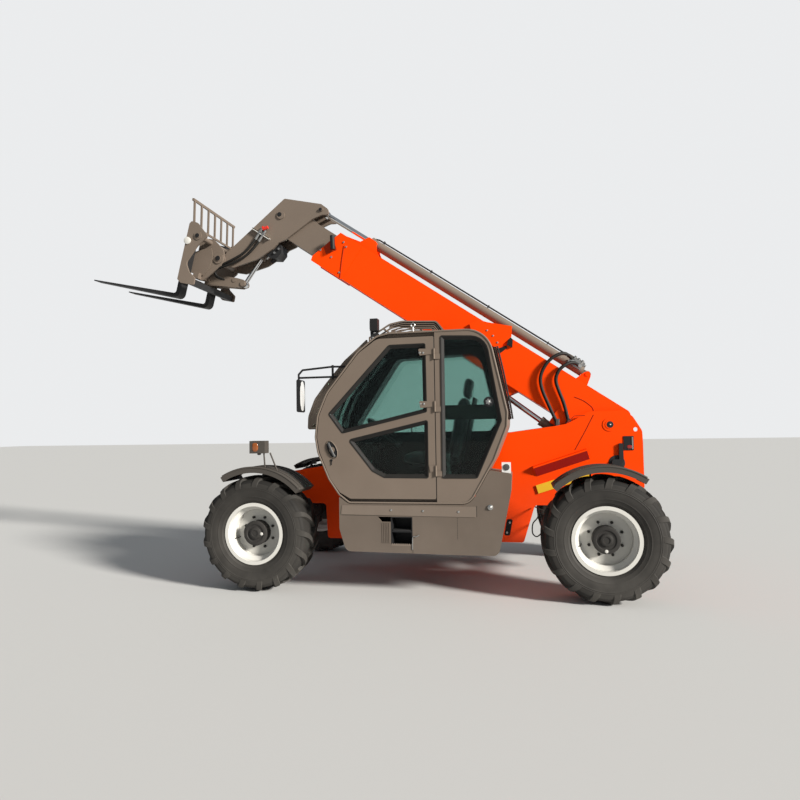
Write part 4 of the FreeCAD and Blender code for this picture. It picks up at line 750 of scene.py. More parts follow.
class HANDLER_OT_door_handle(bpy.types.Operator):
    """Round handle recess with its lever and key"""

    bl_idname = "handler.door_handle"
    bl_label = "Door handle"

    def execute(self, context):
        x, z = MID_X + HANDLE_PLACE[0] / 1000, HANDLE_PLACE[1] / 1000
        angle = np.linspace(0, 2 * np.pi, 40, endpoint=False)
        lean = math.radians(HANDLE_LEAN)
        long_way = np.array([math.sin(lean), math.cos(lean)])
        wide_way = np.array([math.cos(lean), -math.sin(lean)])
        middle = np.array([x, z])
        loop = middle + 0.045 * np.cos(angle)[:, None] * wide_way + 0.084 * np.sin(angle)[:, None] * long_way
        ring = [(0.0, -0.004), (0.0, 0.004), (-0.003, 0.007), (-0.007, 0.004), (-0.008, -0.004)]
        build("HandleRim", [strip_surface(loop, [(out, DOOR_FACE_Y + y) for out, y in ring])], "cover", "door", 50.0)
        parts = [slab_part(moved_out(loop, -0.006), DOOR_FACE_Y - 0.002, DOOR_FACE_Y + 0.002)]
        key = middle + np.array([0.006, -0.094])
        parts += stud_parts([(key[0], DOOR_FACE_Y, key[1])], (0, 1, 0), 0.011, 0.006, 16)
        parts.append(block_part((key[0] - 0.003, DOOR_FACE_Y, key[1] - 0.040), (key[0] + 0.004, DOOR_FACE_Y + 0.006, key[1])))
        build("DoorHandle", parts, "plastic", "door")
        spots = [middle + long_way * along + wide_way * 0.006 for along in (0.066, 0.040, 0.0, -0.040, -0.066)]
        path = np.array([(spot[0], DOOR_FACE_Y + y, spot[1]) for spot, y in zip(spots, (0.003, 0.011, 0.013, 0.011, 0.003))])
        grip = tube_surface(curved(path, 16), 0.0105, 12)
        bright = tube_surface(curved(path + (-0.009 * math.cos(lean), 0.003, 0.009 * math.sin(lean)), 16), 0.0035, 8)
        build("HandleGrip", [grip], "iron", "door")
        build("HandleTrim", [bright], "steel", "door")
        return {"FINISHED"}


def at(x, y, z):
    """A place in millimetres, x from mid wheelbase, in the frame's metres."""
    return np.array([MID_X + x / 1000, y / 1000, z / 1000])


def on_boom(places):
    """(u, y, w) places in millimetres on the boom, in the frame."""
    return boom_to_frame(np.array(places, float) / 1000)


CARRIAGE_PIVOT = joint_place("carriage_tilt")
CARRIAGE_TILT = math.radians(13.8)


def on_carriage(places):
    """(s, y, v) places in millimetres, forwards and up from the carriage's pivot, in the frame."""
    p = np.array(places, float) / 1000
    c, s = math.cos(CARRIAGE_TILT), math.sin(CARRIAGE_TILT)
    return np.stack([CARRIAGE_PIVOT[0] + p[:, 0] * c - p[:, 2] * s, p[:, 1], CARRIAGE_PIVOT[2] + p[:, 0] * s + p[:, 2] * c], -1)


SILL_BOLTS = [(245, 742), (-30, 738), (-330, 734)]
SKIRT_KNOB = (-594, 774)


class HANDLER_OT_skirt_fittings(bpy.types.Operator):
    """Bolts, sill strip, ladder teeth and filler cap on the cover below the cab"""

    bl_idname = "handler.skirt_fittings"
    bl_label = "Skirt fittings"

    def execute(self, context):
        face = DOOR_FACE_Y
        strip = rounded_loop([(690, 700, 8), (-478, 690, 8), (-478, 778, 8), (680, 780, 8)])
        build("SillStrip", [slab_part(strip, face - 0.001, face + 0.004)], "cover", "machine")
        gaps = [block_part(at(-483, 1079, 694), at(684, 1080.8, 699)), block_part(at(-483, 1079, 694), at(-479, 1080.8, 782)),
                block_part(at(60, 1079, 381), at(63, 1080.8, 444))]
        build("SkirtGaps", gaps, "seal", "machine")
        saw = [(64 + 9.2 * k, 462 if k % 2 else 452) for k in range(21)]
        saw_loop = rounded_loop([(x, z, 0) for x, z in [(64, 441)] + saw + [(248, 441)]], 2)
        build("StepSaw", [slab_part(saw_loop, 1.076, 1.0808)], "cover", "machine")
        bolts = stud_parts([at(x, 1084, z) for x, z in SILL_BOLTS], (0, 1, 0), 0.009, 0.005, 12)
        x, z = SKIRT_KNOB
        bolts += stud_parts([at(x, 1080, z)], (0, 1, 0), 0.022, 0.012, 20)
        bolts += stud_parts([at(x, 1090, z)], (0, 1, 0), 0.011, 0.008, 8)
        latch = [at(-741, 792, 608), at(-716, 792, 522)]
        bolts += stud_parts(latch, (0, 1, 0), 0.010, 0.007, 12)
        build("SkirtBolts", bolts, "steel", "machine")
        plate = rounded_loop([(-768, 636, 14), (-718, 636, 14), (-690, 496, 14), (-740, 496, 14)])
        build("SkirtLatch", [slab_part(plate, 0.776, 0.793)], "plastic", "machine")
        seam = [at(-319, face * 1000 - 0.5, 678 - 14 * k) for k in range(13)]
        build("SkirtSeam", stud_parts(seam, (0, 1, 0), 0.0035, 0.0012, 6), "seal", "machine")
        hook = at(*np.array([(64, 1083, 412), (62, 1086, 500), (54, 1090, 524), (30, 1094, 522), (4, 1092, 538)]).T).T
        build("SkirtHook", [tube_surface(curved(hook, 16), 0.004, 8, (0, 1, 0.3))], "steel", "machine")
        low, high = box_of("entry_step")
        teeth = []
        for k in range(9):
            left = low[0] + 0.016 + k * (high[0] - low[0] - 0.05) / 8
            teeth.append(block_part((left, high[1] - 0.10, low[2] + 0.123), (left + 0.018, high[1] - 0.004, low[2] + 0.133)))
        build("StepTeeth", teeth, "dark", "machine")
        return {"FINISHED"}


class HANDLER_OT_lamp_lenses(bpy.types.Operator):
    """Lenses of the front, roof, rear and side lamps"""

    bl_idname = "handler.lamp_lenses"
    bl_label = "Lamp lenses"

    def execute(self, context):
        for side, name in ((1, "left"), (-1, "right")):
            body = "steer_front_" + name
            x, y = FRONT_X - 0.024, side * 1.0
            front = lens_parts((x + 0.074, y, 1.287), (1, 0, 0), 0.040, 0.050, 0.010)
            build("FrontLamp_" + name, front, "clear_lens", body)
            marker = lens_parts((x + 0.02, y + side * 0.045, 1.287), (0, side, 0), 0.030, 0.040, 0.006)
            build("FrontMarker_" + name, marker, "amber_lens", body)
        roof = lens_parts(at(434, 956, 2358), (1, 0, 0), 0.036, 0.048, 0.008)
        build("RoofLampLens", roof, "clear_lens", "machine")
        foot = rounded_loop([(346, 2225, 0), (432, 2200, 0), (438, 2306, 6), (384, 2306, 6), (346, 2262, 6)])
        build("RoofLampFoot", [slab_part(foot, 0.958, 0.964)], "dark", "machine")
        bolts = stud_parts([at(400, 964, 2289), at(418, 964, 2246), at(366, 964, 2252)], (0, 1, 0), 0.009, 0.006, 8)
        build("RoofLampBolts", bolts, "steel", "machine")
        body = [block_part(at(-768, 966, 1052), at(-694, 1052, 1142))]
        build("SideLampBody", body, "clear_lens", "machine")
        build("SideLampRing", stud_parts([at(-731, 1052, 1102)], (0, 1, 0), 0.027, 0.006, 20), "iron", "machine")
        for side, name in ((1, "left"), (-1, "right")):
            rear = lens_parts(at(-1833, side * 237, 1234), (0, side, 0), 0.026, 0.016, 0.004)
            build("RearLens_" + name, rear, "red_lens", "machine")
            strip = block_part(at(-1866, side * 235, 1212), at(-1854, side * 240, 1326))
            build("RearStrip_" + name, [strip], "steel", "machine")
        return {"FINISHED"}


def lens_parts(centre, axis, half_width, half_height, rise):
    """Domed rounded rectangle: its height falls off with the fourth power of the distance from the middle."""
    axis = np.array(axis, float)
    side = np.cross((0, 0, 1), axis)
    u, v = np.meshgrid(np.linspace(-1, 1, 13), np.linspace(-1, 1, 13))
    lift = rise * (1 - np.maximum(np.abs(u), np.abs(v)) ** 4)
    square = np.sqrt(np.clip(1 - 0.5 * (u * v) ** 2, 0, 1))
    points = (np.array(centre) + side * (u * square * half_width)[..., None] + np.array([0, 0, 1]) * (v * square * half_height)[..., None]
              + axis * lift[..., None])
    back = points - axis * (lift[..., None] + 0.004)
    faces = grid_faces(13, 13)
    edge = np.concatenate([np.arange(13), np.arange(1, 13) * 13 + 12, 168 - np.arange(1, 13), 156 - np.arange(1, 12) * 13])
    skirt = [(edge[i], edge[(i + 1) % len(edge)], edge[(i + 1) % len(edge)] + 169, edge[i] + 169) for i in range(len(edge))]
    faces = [tuple(f) for f in faces] + skirt + [tuple(int(k) + 169 for k in f[::-1]) for f in faces]
    return [(np.concatenate([points.reshape(-1, 3), back.reshape(-1, 3)]), faces)]


FENDER_R = 0.592


class HANDLER_OT_fender_ribs(bpy.types.Operator):
    """Rolled outer edge that runs round each mudguard"""

    bl_idname = "handler.fender_ribs"
    bl_label = "Mudguard ribs"

    def execute(self, context):
        for corner in CORNERS:
            centre = joint_place("spin_" + corner)
            side = math.copysign(1.0, centre[1])
            first, last = (60.0, 136.0) if corner.startswith("front") else (48.0, 122.0)
            angle = np.radians(np.linspace(first, last, 40))
            parts = []
            outer = centre[1] + side * 0.188
            for offset in (-0.004,):
                path = np.stack([centre[0] + FENDER_R * np.cos(angle), np.full(40, outer + side * offset),
                                 centre[2] + FENDER_R * np.sin(angle)], -1)
                parts.append(tube_surface(path, 0.009, 8))
            build("FenderRibs_" + corner, parts, "fender", "steer_" + corner)
        return {"FINISHED"}


class HANDLER_OT_boom_fittings(bpy.types.Operator):
    """Pipe, valve, bolts, weld seams and tip roller of the boom"""

    bl_idname = "handler.boom_fittings"
    bl_label = "Boom fittings"

    def execute(self, context):
        pipe = on_boom([(600, 0, 372), (680, 0, 374), (1400, 0, 374), (2300, 0, 374), (2960, 0, 372), (3000, 0, 360)])
        parts = [tube_surface(spaced(pipe, 60), 0.008, 8)]
        for u in (900, 1600, 2300, 2900):
            clip = on_boom([(u, -20, 352), (u, -20, 386), (u, 20, 386), (u, 20, 352)])
            parts.append(tube_surface(spaced(clip, 16), 0.004, 6, (math.cos(BOOM_ANGLE), 0, math.sin(BOOM_ANGLE))))
        build("BarrelPipe", parts, "dark", "boom")
        valve = [block_on_boom((486, -24, 356), (596, 24, 386))]
        for u, w in ((500, 396), (540, 398), (580, 396)):
            valve.append(tube_surface(on_boom([(u, 0, 384), (u, 0, w)]), 0.011, 6))
        valve.append(tube_surface(on_boom([(470, 0, 372), (616, 0, 372)]), 0.012, 8))
        build("HoldingValve", valve, "steel", "boom")
        places = [(3398, 163, -55), (3174, 163, 113), (3254, 163, -58), (3090, 163, -150), (3225, 163, 140)]
        bolts = stud_parts(on_boom([(u, y - 1, w) for u, y, w in places]), (0, 1, 0), 0.011, 0.006, 6)
        bolts += stud_parts(on_boom([(u, -y + 1, w) for u, y, w in places if y < 180]), (0, -1, 0), 0.011, 0.006, 6)
        bolts += stud_parts(on_boom([(u, 178, w) for u, w in ((1456, 145), (1377, 132), (1305, 99))]), (0, 1, 0), 0.009, 0.005, 12)
        build("BoomBolts", bolts, "steel", "boom")
        cover = boom_plate([(1640, 110), (1590, 190), (1500, 215), (1273, 309), (1221, 218), (1271, 48), (1560, 40)], 151, 178)
        build("BoomCover", [cover], "body", "boom")
        # The first block is painted shade, a black plate where the cover casts its shadow on the boom; the second
        # stands for the black hose fittings under the cover.
        ends = [boom_plate([(1240, 214), (1196, 204), (1158, 138), (1216, 128)], 151, 172),
                boom_plate([(1284, 36), (1216, 122), (1196, 108), (1224, 32)], 151, 158)]
        build("CoverHoseEndsAndShade", ends, "seal", "boom")
        seam = on_boom([(402, 150.5, 51), (310, 150.5, 66), (218, 150.5, 58), (182, 150.5, 36)])
        edge = on_boom([(3200, 163.5, 112), (3125, 163.5, -46), (3050, 163.5, -190)])
        build("BoomWeld", [tube_surface(curved(seam, 24), 0.0035, 6), tube_surface(spaced(edge, 24), 0.004, 6)], "weld", "boom")
        # Painted shade: a dark plate where the opening at the boom's tip lies in shade.
        pocket = [boom_plate([(3387, -11), (3349, 116), (3243, 35), (3320, -60)], 162, 164)]
        build("TipPocketShade", pocket, "weld", "boom")
        roller = [tube_surface(on_boom([(3356, 198, 132), (3268, 198, 16)]), 0.024, 16)]
        build("TipRoller", roller, "plastic", "boom")
        return {"FINISHED"}


def boom_plate(corners, y0, y1):
    """Plate with a (u, w) outline on the boom, in millimetres."""
    n = len(corners)
    points = on_boom([(u, y0, w) for u, w in corners] + [(u, y1, w) for u, w in corners])
    return points, [tuple(range(n)), tuple(range(n, 2 * n))] + [(i, (i + 1) % n, n + (i + 1) % n, n + i) for i in range(n)]


def block_on_boom(low, high):
    """Box between two (u, y, w) corners in millimetres on the boom."""
    points, faces = block_part(low, high)
    return on_boom(points), faces


def hose_part(route, radius, count=50, across=(0.0, 1.0, 0.0)):
    """Hose along a smooth line through the points of a route."""
    return tube_surface(curved(route, count), radius, 10, across)


# Hoses over the boom: along it, outwards, across it, in millimetres
BOOM_HOSES = (
    ("BoomHose_1", [(600, 74, 345), (672, 122, 372), (745, 172, 330), (800, 186, 210), (790, 184, 60), (722, 182, -40),
                    (560, 180, -150), (400, 178, -250)]),
    ("BoomHose_2", [(520, 74, 325), (570, 122, 342), (630, 172, 290), (668, 186, 190), (646, 184, 90), (560, 182, 20),
                    (430, 180, -70), (312, 178, -190)]),
)


class HANDLER_OT_boom_hoses(bpy.types.Operator):
    """Two hoses that arch over the boom's side, with their valve block and the bulkhead plate"""

    bl_idname = "handler.boom_hoses"
    bl_label = "Boom hoses"

    def execute(self, context):
        for name, places in BOOM_HOSES:
            hose_cord(name, on_boom(places), 0.017, "boom")
        block = [block_on_boom((500, 56, 300), (640, 98, 352)), block_on_boom((530, -60, 354), (610, 60, 380))]
        for u in (520, 560, 600):
            block.append(tube_surface(on_boom([(u, 30, 362), (u, 30, 404)]), 0.013, 8))
            block.append(tube_surface(on_boom([(u, 96, 330), (u, 112, 334)]), 0.019, 6))
        piece = build("HoseBlock", block, "steel", "boom")
        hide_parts("boom_hoses")
        plate = [boom_plate([(280, -120), (470, -120), (470, -280), (280, -280)], 150.3, 162)]
        build("BulkheadPlate", plate, "body", "boom")
        ends = [tube_surface(on_boom([(u + 22, 178, w + 34), (u - 16, 178, w - 24)]), 0.022, 6) for u, w in ((400, -250), (312, -190))]
        ends += [block_on_boom((u - 22, 160, w - 18), (u + 22, 178, w + 18)) for u, w in ((400, -250), (318, -190))]
        build("HoseUnions", ends, "iron", "boom")
        return {"FINISHED"}


class HANDLER_OT_guard_plates(bpy.types.Operator):
    """Side plates of the screen guard, and black plates behind the bars of the roof guard: painted shade seen between
    the bars
    """

    bl_idname = "handler.guard_plates"
    bl_label = "Guard plates"

    def execute(self, context):
        skin = moved_out(rounded_loop(CAB_SIDE, 10), 0.016)
        outer = moved_out(rounded_loop(SCREEN_GUARD, 10), -0.003)
        inner = skin[(skin[:, 0] > MID_X + 0.50) & (skin[:, 1] > 1.445) & (skin[:, 1] < 2.15)]
        outer = outer[(outer[:, 0] > MID_X + 0.56) & (outer[:, 1] > 1.445) & (outer[:, 1] < 2.19)]
        inner = inner[np.argsort(inner[:, 1])]
        outer = outer[np.argsort(-outer[:, 1])]
        loop = np.concatenate([inner, outer])
        plates = [slab_part(loop, y, y + 0.004) for y in (0.904, 0.351)]
        build("GuardSides", plates, "cover", "machine")
        roof = rounded_loop(ROOF_GUARD, 10)
        # Painted shade: black plates behind the roof guard's bars, where the gaps between them lie in shade.
        louvre_shade_line = moved_out(roof, -0.014)
        louvre_shade_line = louvre_shade_line[louvre_shade_line[:, 1] > 2.276]
        build("RoofGuardShade", [slab_part(louvre_shade_line, 0.889, 0.892), slab_part(louvre_shade_line, 0.366, 0.369)], "plastic", "machine")
        slats = []
        for gap in (0.028, 0.046, 0.064, 0.082):
            line = moved_out(roof, -gap)
            line = line[line[:, 1] > 2.278]
            line = line[np.argsort(line[:, 0])]
            for y in (0.899, 0.357):
                slats.append(tube_surface(spaced(np.insert(line, 1, y, axis=1), 40), 0.0050, 6))
        build("RoofSlats", slats, "cover", "machine")
        return {"FINISHED"}


def cushion_part(centre, up, half, channels, pinch=0.05):
    """Crowned closed cushion: a superellipsoid whose sides pull in between its corners and whose top has sewn channels.
    up is the direction of its thickness in the (x, z) plane; half holds half its length, width and thickness."""
    rows = np.linspace(-np.pi / 2 + 0.06, np.pi / 2 - 0.06, 33)[:, None]
    turn = np.linspace(0, 2 * np.pi, 96, endpoint=False)[None, :]
    flat = np.abs(np.cos(rows)) ** 0.42
    along = flat * np.sign(np.cos(turn)) * np.abs(np.cos(turn)) ** 0.34
    across = flat * np.sign(np.sin(turn)) * np.abs(np.sin(turn)) ** 0.34
    rise = np.sign(np.sin(rows)) * np.abs(np.sin(rows)) ** 0.75 + 0 * turn
    crown = 1 + 0.22 * (1 - along**2) * (1 - across**2) * (rise > 0)
    pulled_along = along * (1 - pinch * (1 - across**2))
    pulled_across = across * (1 - pinch * (1 - along**2))
    groove = 0 * rise
    for place in channels:
        groove = groove + 0.16 * np.exp(-(((along - place) / 0.030) ** 2))
    rise = rise * crown - groove * (rise > 0) * np.abs(rise)
    thick = np.array([up[0], 0.0, up[1]])
    length = np.array([up[1], 0.0, -up[0]])
    points = (np.array(centre) + (pulled_along * half[0])[..., None] * length + (pulled_across * half[1])[..., None] * np.array([0, 1.0, 0])
              + (rise * half[2])[..., None] * thick)
    faces = [tuple(f) for f in grid_faces(33, 96, close_columns=True)]
    faces += [tuple(range(95, -1, -1)), tuple(range(32 * 96, 33 * 96))]
    return points, faces


def piping_part(centre, up, half, pinch=0.05):
    """Cord sewn round a cushion's widest line."""
    turn = np.linspace(0, 2 * np.pi, 97)
    along = np.sign(np.cos(turn)) * np.abs(np.cos(turn)) ** 0.34
    across = np.sign(np.sin(turn)) * np.abs(np.sin(turn)) ** 0.34
    length = np.array([up[1], 0.0, -up[0]])
    path = (np.array(centre) + (along * (1 - pinch * (1 - across**2)) * half[0])[:, None] * length
            + (across * (1 - pinch * (1 - along**2)) * half[1])[:, None] * np.array([0, 1.0, 0]))
    return tube_surface(spaced(path, 120), 0.0045, 6, (up[0], 0.0, up[1]))


# Seat cushions: centre (x, z), direction of their thickness, half sizes, places of the sewn channels
SEAT_CUSHIONS = (
    ("ChairCushion", (-70, 1160), (-0.04, 1.0), (0.258, 0.236, 0.056), (-0.55, -0.1, 0.35)),
    ("BackCushion", (-318, 1428), (0.981, 0.193), (0.284, 0.226, 0.052), (-0.6, -0.3, 0.0, 0.3, 0.6)),
    ("HeadCushion", (-400, 1786), (0.988, 0.152), (0.090, 0.126, 0.036), ()),
)


class HANDLER_OT_seat(bpy.types.Operator):
    """Driver's seat: pedestal, three cushions with sewn channels, and the belt"""

    bl_idname = "handler.seat"
    bl_label = "Seat"

    def execute(self, context):
        base = [block_part(at(-290, 490, 836), at(60, 830, 900)), block_part(at(-310, 450, 1080), at(120, 870, 1106))]
        base += [block_part(at(-270 + 8 * (k % 2), 510 + 8 * (k % 2), 900 + 30 * k), at(40 - 8 * (k % 2), 810 - 8 * (k % 2), 930 + 30 * k))
                 for k in range(5)]
        shell = rounded_loop([(-352, 1120, 10), (-338, 1120, 10), (-450, 1700, 10), (-464, 1700, 10)], 4)
        base.append(slab_part(shell, 0.47, 0.85))
        for y in (610, 710):
            base.append(tube_surface(np.array([at(-398, y, 1690), at(-412, y, 1740)]), 0.007, 8))
        piece = build("ChairBase", base, "plastic", "machine")
        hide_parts("cab_seat")
        for name, place, up, half, channels in SEAT_CUSHIONS:
            centre = at(place[0], 660, place[1])
            up = np.array(up) / math.hypot(*up)
            cushion = build(name, [cushion_part(centre, up, half, channels), piping_part(centre, up, half)], "cloth",
                            "machine", 60.0)
        belt = [block_part(at(-246, 898, 1040), at(-216, 901, 1210)), block_part(at(-258, 892, 1020), at(-206, 906, 1060))]
        build("ChairBelt", belt, "belt", "machine")
        return {"FINISHED"}


class HANDLER_OT_head_fittings(bpy.types.Operator):
    """Coupler, hoses and pin ends of the boom head, with a painted highlight on the coupler's bracket and black discs
    of painted shade in the pin bores
    """

    bl_idname = "handler.head_fittings"
    bl_label = "Head fittings"

    def execute(self, context):
        # Painted highlight: the coupler's bracket is white where the sun lights its edges.
        bracket = [block_on_boom((3950, 160, -248), (4180, 196, -240)), block_on_boom((3950, 188, -256), (4180, 196, -240))]
        build("CouplerBracketHighlight", bracket, "wheel", "inner_boom")
        coupler = []
        for u in (4040, 4086):
            coupler.append(tube_surface(on_boom([(u, 178, -330), (u - 2, 178, -190)]), 0.016, 10))
            coupler.append(tube_surface(on_boom([(u - 1, 178, -262), (u - 2, 178, -222)]), 0.021, 6))
        build("HoseCoupler", coupler, "steel", "inner_boom")
        lever = [tube_surface(on_boom([(4072, 184, -196), (4034, 186, -150)]), 0.017, 10),
                 tube_surface(on_boom([(4086, 178, -192), (4084, 178, -168)]), 0.015, 10)]
        build("CouplerLever", lever, "red_handle", "inner_boom")
        body = [(3975, -310), (3905, -246), (3833, -232), (3786, -300), (3796, -372), (3868, -412), (3950, -400)]
        valve = [boom_plate(body, -60, 110)]
        valve.append(tube_surface(on_boom([(3935, 100, -340), (3935, 150, -340)]), 0.030, 16))
        valve.append(tube_surface(on_boom([(3850, 20, -390), (3868, 20, -446)]), 0.022, 12))
        build("HeadValve", valve, "dark", "inner_boom")
        ports = [tube_surface(on_boom([(u, 108, w), (u, 126, w)]), 0.013, 6) for u, w in ((3830, -280), (3850, -340), (3896, -300))]
        ports.append(tube_surface(on_boom([(3900, 70, -400), (3912, 70, -440)]), 0.016, 8))
        ports.append(tube_surface(on_boom([(3935, 148, -340), (3935, 156, -340)]), 0.016, 12))
        build("ValvePorts", ports, "steel", "inner_boom")
        # Painted shade: black discs where the pin bores lie in shade.
        bore_shades = stud_parts(on_boom([(4006, 171, 31)]), (0, 1, 0), 0.024, 0.004, 24)
        bore_shades += stud_parts(on_boom([(3636, 173, 302)]), (0, 1, 0), 0.017, 0.004, 24)
        bore_shades += stud_parts(on_boom([(4006, -171, 31)]), (0, -1, 0), 0.024, 0.004, 24)
        bore_shades += stud_parts(on_boom([(3636, -173, 302)]), (0, -1, 0), 0.017, 0.004, 24)
        build("HeadPinBoreShade", bore_shades, "plastic", "inner_boom")
        hoses = (("HeadHose_1", [(4040, 178, -330), (4042, 188, -410), (4066, 193, -520), (4145, 192, -656), (4230, 188, -752),
                                 (4310, 178, -838), (4275, 160, -900), (4190, 150, -880)]),
                 ("HeadHose_2", [(4086, 178, -330), (4088, 188, -410), (4106, 193, -510), (4175, 192, -630), (4255, 180, -735),
                                 (4330, 150, -850), (4280, 125, -920), (4190, 116, -880)]))
        for name, places in hoses:
            hose_cord(name, on_boom(places), 0.012, "inner_boom")
        return {"FINISHED"}


def hose_cord(name, route, radius, body):
    """Hydraulic hose on a smooth spline whose control points are the route; it is held at both ends."""
    curve = bpy.data.curves.new(name, "CURVE")
    curve.dimensions = "3D"
    curve.bevel_depth = radius
    curve.bevel_resolution = 3
    curve.use_fill_caps = True
    spline = curve.splines.new("NURBS")
    spline.points.add(len(route) - 1)
    for point, place in zip(spline.points, route):
        point.co = (*place, 1.0)
    spline.order_u = 3
    spline.use_endpoint_u = True
    spline.resolution_u = 8
    curve.materials.append(MATERIALS["seal"])
    piece = bpy.data.objects.new(name, curve)
    bpy.context.scene.collection.objects.link(piece)
    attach(piece, body)
    return piece


class HANDLER_OT_carriage_fittings(bpy.types.Operator):
    """Pin ends and side boss of the fork carriage; the pin ends are black discs of painted shade in the pin bores"""

    bl_idname = "handler.carriage_fittings"
    bl_label = "Carriage fittings"

    def execute(self, context):
        # Painted shade: steel gathers black discs for the shaded pin bores, pale the side boss.
        steel, pale = [], []
        for side in (1, -1):
            for s, v, y, radius, height, target in ((135, 150, 473, 0.022, 0.005, steel), (0, 0, 217, 0.026, 0.005, steel),
                                                    (240, 80, 460, 0.038, 0.014, pale)):
                place = on_carriage([(s, side * y, v)])
                target += stud_parts(place, (0, side, 0), radius, height, 20)
        gusset = [(342, -206), (128, -214), (70, -118), (60, 0), (100, 96), (196, 66), (312, 10)]
        plate = on_carriage([(s, 183, v) for s, v in gusset])
        build("CarriageGusset", [slab_part(plate[:, [0, 2]], 0.208, 0.216), slab_part(plate[:, [0, 2]], -0.216, -0.208)],
              "cover", "carriage")
        build("CarriagePinBoreShade", steel, "plastic", "carriage")
        build("CarriageBoss", pale, "wheel", "carriage")
        return {"FINISHED"}


class HANDLER_OT_chassis_fittings(bpy.types.Operator):
    """Weld seams, pivot pin caps, eye bolt and the pipe beside the rear axle"""

    bl_idname = "handler.chassis_fittings"
    bl_label = "Chassis fittings"

    def execute(self, context):
        welds, caps, bolts = [], [], []
        for side in (1, -1):
            y = side * (PLATE_FACE_Y * 1000 + 0.5)
            for line in ([(-1524, 1536), (-1454, 1401), (-1347, 1209)], [(-1446, 1532), (-1349, 1530), (-1275, 1460)]):
                path = np.array([at(x, y, z) for x, z in line])
                welds.append(tube_surface(spaced(path, 20), 0.0035, 6))
            caps += stud_parts([at(-1667, side * 234, 1443)], (0, side, 0), 0.031, 0.006, 24)
            bolts += stud_parts([at(-1667, side * 239, 1443)], (0, side, 0), 0.009, 0.005, 8)
            # Painted shade: a black disc where the recess in the side plate lies in shade, with a bolt in its middle.
            recess = at(-1718, side * 230.5, 1086)
            caps += stud_parts([recess], (0, side, 0), 0.072, 0.004, 32, 0.05)
            bolts += stud_parts([recess + np.array([0, side * 0.004, 0])], (0, side, 0), 0.020, 0.010, 12)
        build("ChassisWelds", welds, "weld", "machine")
        # Painted shade: a thin dark red plate on the fairing's sloped lower face, which lies in shade.
        x0, z0, x1, z1 = FAIRING
        way = np.array([x1 - x0, 0.0, z1 - z0]) / math.hypot(x1 - x0, z1 - z0)
        up = np.array([-way[2], 0.0, way[0]]) * np.sign(way[0])
        shaded = []
        for side in (1, -1):
            out = np.array([0, side * 48.0, 0])
            near, far = np.array([x0, side * 230.0, z0]) + 4 * way, np.array([x1, side * 230.0, z1]) - 4 * way
            face = [near, far, far + out * 0.97 + up * 82, near + out * 0.97 + up * 82]
            lift = np.array([0, side * 0.9, 0]) - up * 0.6
            corners = np.array([at(*spot) for spot in face] + [at(*(spot + lift)) for spot in face])
            shaded.append((corners, [(3, 2, 1, 0), (4, 5, 6, 7), (0, 1, 5, 4), (1, 2, 6, 5), (2, 3, 7, 6), (3, 0, 4, 7)]))
        recalculated(build("FairingShade", shaded, "painted_shade", "machine"))
        build("PivotCapsAndRecessShade", caps, "dark", "machine")
        pipe = at(*np.array([(-965, 250, 676), (-996, 330, 668), (-985, 400, 600), (-940, 400, 540), (-936, 400, 454), (-975, 400, 424),
                             (-1018, 400, 470), (-1018, 330, 540), (-1018, 232, 560)]).T).T
        build("SidePipe", [tube_surface(curved(pipe, 60), 0.006, 8, (0.3, 0.2, 0.9))], "plastic", "machine")
        angle = np.linspace(0, 2 * np.pi, 28, endpoint=False)
        ring = at(45, 1000, 2333)
        around = np.stack([ring[0] + 0.017 * np.cos(angle), np.full(28, ring[1]), ring[2] + 0.017 * np.sin(angle)], -1)
        bolts.append(closed_tube(around, 0.0055, (0, 1, 0)))
        bolts += stud_parts([at(45, 1000, 2266)], (0, 0, 1), 0.010, 0.052, 12)
        bolts += stud_parts([at(x, 1087, z) for x, z in ((-25, 2080), (-55, 2078), (-25, 1643), (-55, 1642))], (0, 1, 0), 0.009, 0.005, 10)
        build("FrameBolts", bolts, "steel", "machine")
        line = at(*np.array([(-652, 950, 2120), (-676, 950, 2008), (-702, 950, 1880), (-724, 950, 1753), (-748, 950, 1626), (-766, 950, 1499)]).T).T
        path = curved(line, 180)
        along = np.concatenate([[0.0], np.cumsum(np.linalg.norm(np.diff(path, axis=0), axis=1))])
        build("CornerBellows", [tube_surface(path + (0.0, 0.0, 0.0), 0.017 + 0.0030 * np.sin(2 * np.pi * along / 0.014), 12)],
              "bellows", "machine", 60.0)
        build("CornerHose", [tube_surface(curved(line + (-0.026, 0.020, 0.004), 40), 0.007, 8)], "seal", "machine")
        return {"FINISHED"}


def closed_tube(path, radius, across):
    """Round tube along a closed line in the plane square to a cross direction."""
    tangent = np.roll(path, -1, 0) - np.roll(path, 1, 0)
    tangent /= np.linalg.norm(tangent, axis=1)[:, None]
    side = np.cross(tangent, np.array(across, float))
    side /= np.linalg.norm(side, axis=1)[:, None]
    angle = np.linspace(0, 2 * np.pi, 10, endpoint=False)[None, :, None]
    points = path[:, None, :] + radius * (np.cos(angle) * side[:, None, :] + np.sin(angle) * np.array(across, float))
    return points, grid_faces(len(path), 10, close_rows=True, close_columns=True)


MIRROR_TURN = 4.0


class HANDLER_OT_mirror_glass(bpy.types.Operator):
    """Glass on the mirror's rear face, with a painted reflection: a pale colour that is only partly metallic"""

    bl_idname = "handler.mirror_glass"
    bl_label = "Mirror glass"

    def execute(self, context):
        turn = math.radians(MIRROR_TURN)
        centre = at(1084, 1010, 1740) - 0.0225 * np.array([math.cos(turn), math.sin(turn), 0.0])
        glass = lens_parts(centre, (-math.cos(turn), -math.sin(turn), 0), 0.070, 0.133, 0.003)
        build("MirrorGlassAndPaintedReflection", glass, "mirror", "machine")
        return {"FINISHED"}


